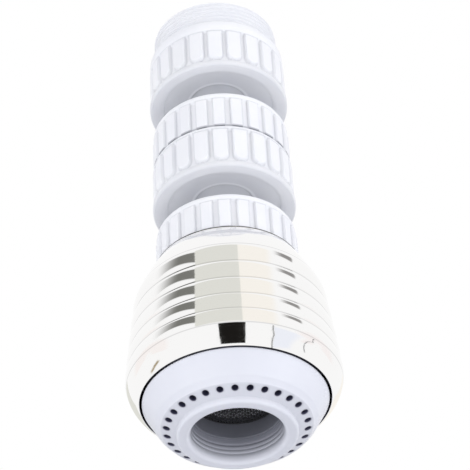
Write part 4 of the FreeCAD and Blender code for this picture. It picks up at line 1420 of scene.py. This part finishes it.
@dataclass(frozen=True)
class Card:
    """Studio card that only the gloss of the part shows: a curved sheet between two edges.

    A corner is a pair of angles seen from the part: how far it is rolled over from the front, -Y,
    by way of straight up, and how far it is turned to the right. The soft shares say over how much
    of the card its colour fades in from its left, right, first and last edge.
    """

    name: str
    rolls: tuple[float, ...]
    left: tuple[float, ...]
    right: tuple[float, ...]
    colour: Colour
    distance: float = 0.75
    soft: tuple[float, float, float, float] = (0.0, 0.0, 0.0, 0.0)
    right_rolls: tuple[float, ...] = ()
    steps: int = 12
    centre_level: float = 0.02

    def spot(self, corner: Vector) -> Vector:
        """Place of a corner, in metres.

        Args:
            corner: Its roll and its turn, in degrees.

        Returns:
            The place.
        """
        roll, side = (math.radians(angle) for angle in corner)
        way = Vector((math.sin(side), -math.cos(side) * math.cos(roll), math.cos(side) * math.sin(roll)))
        return way * self.distance + Vector((0.0, 0.0, self.centre_level))

    def edge(self, rolls: Sequence[float], sides: Sequence[float]) -> list[Vector]:
        """Evenly split edge through the corners.

        Args:
            rolls: Roll of each corner.
            sides: Turn of each corner.

        Returns:
            Every point of the edge, as roll and turn.
        """
        corners = [Vector(corner) for corner in zip(rolls, sides)]
        pairs = zip(corners, corners[1:])
        fine = [first.lerp(last, step / self.steps) for first, last in pairs for step in range(self.steps)]
        return [*fine, corners[-1]]

    def fade(self, along: float, across: float) -> float:
        """How much of its colour the card keeps at a place."""
        shares = (across, 1.0 - across, along, 1.0 - along)
        return min(smooth(share / width) if width else 1.0 for share, width in zip(shares, self.soft))

    def build(self) -> None:
        """Builds the card and keeps it out of every ray but glossy ones."""
        right = self.edge(self.right_rolls or self.rolls, self.right)
        rows = list(zip(self.edge(self.rolls, self.left), right))
        wide, last = self.steps + 1, len(rows) - 1
        spots = [self.spot(a.lerp(b, step / self.steps)) for a, b in rows for step in range(wide)]
        corners = (row * wide + place for row in range(last) for place in range(self.steps))
        faces = [(corner, corner + 1, corner + wide + 1, corner + wide) for corner in corners]
        mesh = bpy.data.meshes.new(self.name)
        mesh.from_pydata(spots, [], faces)
        mesh.attributes.new("fade", "FLOAT", "POINT").data.foreach_set("value", [
            self.fade(row / last, place / self.steps) for row in range(last + 1) for place in range(wide)])
        graph = FinishGraph(self.name)
        fade = graph.add("ShaderNodeAttribute", attribute_name="fade").outputs["Fac"]
        glow = graph.out("ShaderNodeEmission", {"Color": graph.blend(fade, (1.0, 1.0, 1.0), self.colour)})
        graph.add("ShaderNodeOutputMaterial", {"Surface": glow})
        mesh.materials.append(graph.material)
        card = linked(bpy.data.objects.new(self.name, mesh))
        for ray in ("camera", "diffuse", "transmission", "volume_scatter", "shadow"):
            setattr(card, "visible_" + ray, False)


BLACK = (0.012, 0.011, 0.010)
OLIVE = (0.77, 0.77, 0.72)
CREAM = (0.985, 0.95, 0.89)
BLUSH = (0.985, 0.94, 0.925)
MIDDLE_ROLLS = (9.0, 22.0, 40.0, 57.0, 73.0, 82.0)
MIDDLE_LINE = (10.8, 10.5, 9.6, 8.3, 6.8, 6.0)
CARDS = (
    Card("front_gobo", (1.0, -33.0, -55.0), (-12.2, -11.0, -8.8), (13.2, 12.0, 10.0), BLACK, 0.30),
    Card("olive_card", MIDDLE_ROLLS, (-34.0, -33.0, -30.2, -26.4, -22.0, -19.0), MIDDLE_LINE, OLIVE,
         soft=(0.0, 0.0, 0.06, 0.05)),
    Card("cream_card", MIDDLE_ROLLS, MIDDLE_LINE, (47.6, 46.4, 43.2, 38.2, 31.9, 28.0), CREAM,
         soft=(0.0, 0.25, 0.06, 0.05)),
    Card("left_flag", (86.0, 93.0, 104.5, 112.0), (-63.0, -56.0, -41.8, -31.0), (-32.0, -30.2, -25.3, -20.6),
         (0.20, 0.20, 0.185), 0.72, (0.6, 0.0, 0.2, 0.1), (29.0, 40.0, 61.4, 77.0)),
    Card("right_flag", (70.0, 81.0, 88.0), (33.0, 28.5, 25.1), (48.0, 39.0, 31.0), (0.30, 0.29, 0.285), 0.72,
         (0.5, 0.1, 0.2, 0.2), (84.0, 96.0, 104.0)),
    Card("right_stand", (2.0, -29.0, -72.0), (39.3, 38.6, 28.0), (40.4, 39.7, 28.8), (0.10, 0.10, 0.10), 0.6),
    Card("right_post", (59.0, 0.0, -80.0), (79.5, 83.6, 59.5), (80.7, 84.8, 60.7), (0.16, 0.16, 0.17), 0.6),
    Card("brown_prop", (-76.0, -98.0, -118.0), (-69.0, -67.0, -62.0), (-63.0, -61.5, -57.0),
         (0.38, 0.30, 0.18), 0.6, (0.3, 0.3, 0.2, 0.2)),
    Card("cool_card", (0.0, -29.0, -72.0), (41.0, 40.4, 29.5), (78.0, 70.0, 48.0), (0.90, 0.925, 1.0), 0.76,
         (0.0, 0.4, 0.1, 0.1)),
    Card("back_olive", (151.0, 176.0), (-38.0, -36.0), (-8.0, -9.0), OLIVE),
    Card("back_cream", (151.0, 176.0), (-8.0, -9.0), (30.0, 34.0), CREAM),
    Card("back_gobo", (184.0, 214.0, 240.0), (-12.0, -11.0, -8.0), (11.0, 10.0, 8.0), BLACK, 0.30),
    Card("left_blush", (-40.0, 60.0, 180.0), (-60.0, -62.0, -60.0), (-88.0, -88.0, -88.0), BLUSH, 0.77,
         (0.3, 0.2, 0.0, 0.0)),
    Card("right_blush", (-40.0, 60.0, 180.0), (60.0, 62.0, 60.0), (88.0, 88.0, 88.0),
         (0.985, 0.94, 0.935), 0.77, (0.4, 0.3, 0.0, 0.0)),
)


@dataclass(frozen=True)
class Lamp:
    """Soft square lamp that looks at the part."""

    name: str
    place: Colour
    width: float
    power: float
    colour: Colour

    def build(self, target: Vector) -> None:
        """Hangs the lamp.

        Args:
            target: Place that it looks at.
        """
        data = bpy.data.lights.new(self.name, "AREA")
        data.shape = "SQUARE"
        data.size = self.width
        data.energy = self.power
        data.color = self.colour
        lamp = linked(bpy.data.objects.new(self.name, data))
        lamp.location = self.place
        lamp.rotation_euler = (target - Vector(self.place)).to_track_quat("-Z", "Y").to_euler()
        lamp.visible_glossy = False


LAMPS = (
    Lamp("front_lamp", (-0.30, -0.80, 0.22), 0.5, 1.25, (1.0, 0.985, 0.955)),
    Lamp("side_lamp", (0.75, -0.35, 0.35), 0.5, 1.5, (0.98, 0.98, 1.0)),
    Lamp("left_fill", (-0.72, -0.35, -0.12), 0.5, 1.6, (0.97, 0.98, 1.0)),
    Lamp("right_fill", (0.72, -0.35, -0.14), 0.5, 1.5, (0.97, 0.98, 1.0)),
    Lamp("low_fill", (0.05, -0.35, -0.36), 0.4, 0.36, (0.94, 0.95, 1.0)),
)


@dataclass(frozen=True)
class StudioCamera:
    """Camera below the part, looking up at its face and its whole length."""

    frame_pixels: float = 470.0
    focal_pixels: float = 2000.0
    sensor: float = 36.0
    clip: Point = (0.01, 20.0)
    distance: float = 0.34453
    below: float = 34.44
    pan: float = 0.256
    tilt: float = 4.786
    roll: float = -3.359
    aim_level: float = 0.007

    def build(self) -> None:
        """Places the camera and makes it the scene's own."""
        below, pan, tilt, roll = map(math.radians, (self.below, self.pan, self.tilt, self.roll))
        forward = Vector((0.0, math.cos(below), math.sin(below)))
        place = Vector((0.0, 0.0, self.aim_level)) - forward * self.distance
        right = Vector((1.0, 0.0, 0.0))
        up = right.cross(forward)
        panned = forward * math.cos(pan) + right * math.sin(pan)
        right = right * math.cos(pan) - forward * math.sin(pan)
        aimed = panned * math.cos(tilt) + up * math.sin(tilt)
        up = up * math.cos(tilt) - panned * math.sin(tilt)
        side = right * math.cos(roll) + up * math.sin(roll)
        crown = up * math.cos(roll) - right * math.sin(roll)
        data = bpy.data.cameras.new("studio_camera")
        data.sensor_width = self.sensor
        data.lens = self.focal_pixels / self.frame_pixels * self.sensor
        data.clip_start, data.clip_end = self.clip
        camera = linked(bpy.data.objects.new("studio_camera", data))
        turn = Matrix((side, crown, -aimed)).transposed()
        camera.matrix_world = Matrix.Translation(place) @ turn.to_4x4()
        bpy.context.scene.camera = camera


@dataclass(frozen=True)
class Studio:
    """Pale floor well below the part, white surround, soft lamps and the cards in the chrome."""

    floor_level: float = -0.42
    floor_width: float = 4.0
    floor_colour: Colour = (0.90, 0.90, 0.91)
    floor_roughness: float = 0.85
    fibre_scale: float = 40.0
    fibre_height: float = 0.0003
    surround: Colour = (0.92, 0.935, 1.0)
    surround_strength: float = 0.66
    target: Colour = (0.0, 0.0, 0.045)

    def floor(self) -> None:
        """Builds the floor with a faint mottled paper finish."""
        half = self.floor_width / 2
        mesh = bpy.data.meshes.new("studio_floor")
        corners = ((-half, -half), (half, -half), (half, half), (-half, half))
        mesh.from_pydata([(*corner, self.floor_level) for corner in corners], [], [(0, 1, 2, 3)])
        paper = FinishGraph("floor_paper")
        relief = paper.bump(paper.noise(self.fibre_scale, 4.0), self.fibre_height, 0.2)
        mesh.materials.append(paper.finish((*self.floor_colour, 1.0), self.floor_roughness, relief))
        floor = linked(bpy.data.objects.new("studio_floor", mesh))
        floor.visible_glossy = False

    def world(self) -> None:
        """Sets the surround: plain white where it is seen or mirrored, softer where it lights the part."""
        world = bpy.data.worlds.new("studio_surround")
        bpy.context.scene.world = world
        world.use_nodes = True
        world.node_tree.nodes.clear()
        graph = Graph(world.node_tree)
        ray = graph.add("ShaderNodeLightPath").outputs
        rays = (ray["Is Camera Ray"], ray["Is Glossy Ray"], ray["Is Transmission Ray"])
        light = graph.out("ShaderNodeBackground", {
            "Color": (*self.surround, 1.0), "Strength": self.surround_strength})
        white = graph.out("ShaderNodeBackground", {"Color": (1.0, 1.0, 1.0, 1.0), "Strength": 1.0})
        seen = reduce(partial(graph.math, "MAXIMUM"), rays)
        mixed = graph.out("ShaderNodeMixShader", {0: seen, 1: light, 2: white})
        graph.add("ShaderNodeOutputWorld", {"Surface": mixed})

    def build(self) -> None:
        """Builds the floor, surround, lamps, cards and camera."""
        bpy.context.scene.view_settings.view_transform = "Standard"
        self.floor()
        self.world()
        for lamp in LAMPS:
            lamp.build(Vector(self.target))
        for card in CARDS:
            card.build()
        StudioCamera().build()


def main() -> None:
    """Builds the finishes, every piece in order down the part, and the studio."""
    logging.basicConfig(level=logging.INFO, format="%(name)s: %(message)s")
    shop = Workshop()
    for piece in (
            InletCollar(shop, shoulder=Extent.of("upper_socket_nut").top),
            SocketNut(shop, "upper_grip_nut", "upper_socket_nut", Body.INLET, band_height=2.6),
            BallStud(shop, "upper_stud", "upper_ball_stud", Body.MIDDLE),
            GripRing(shop, "middle_grip_ring", "middle_coupling", Body.MIDDLE, height=8.4,
                     spigot_radius=11.0, way_radius=6.0),
            SocketNut(shop, "lower_grip_nut", "lower_socket_nut", Body.MIDDLE, band_height=0.7),
            BallStud(shop, "lower_stud", "lower_ball_stud", Body.HEAD),
            # The head ring's seam on the shell is painted darker, as the shade at the shell's top edge.
            GripRing(shop, "head_grip_ring", "head_coupling", Body.HEAD, height=8.0,
                     spigot_radius=10.2, way_radius=7.8, seam_shade=0.85),
            PlatedShell(shop), SprayFace(shop), Cartridge(shop), CarriedNodes(shop), Studio()):
        piece.build()


if __name__ == "__main__":
    main()
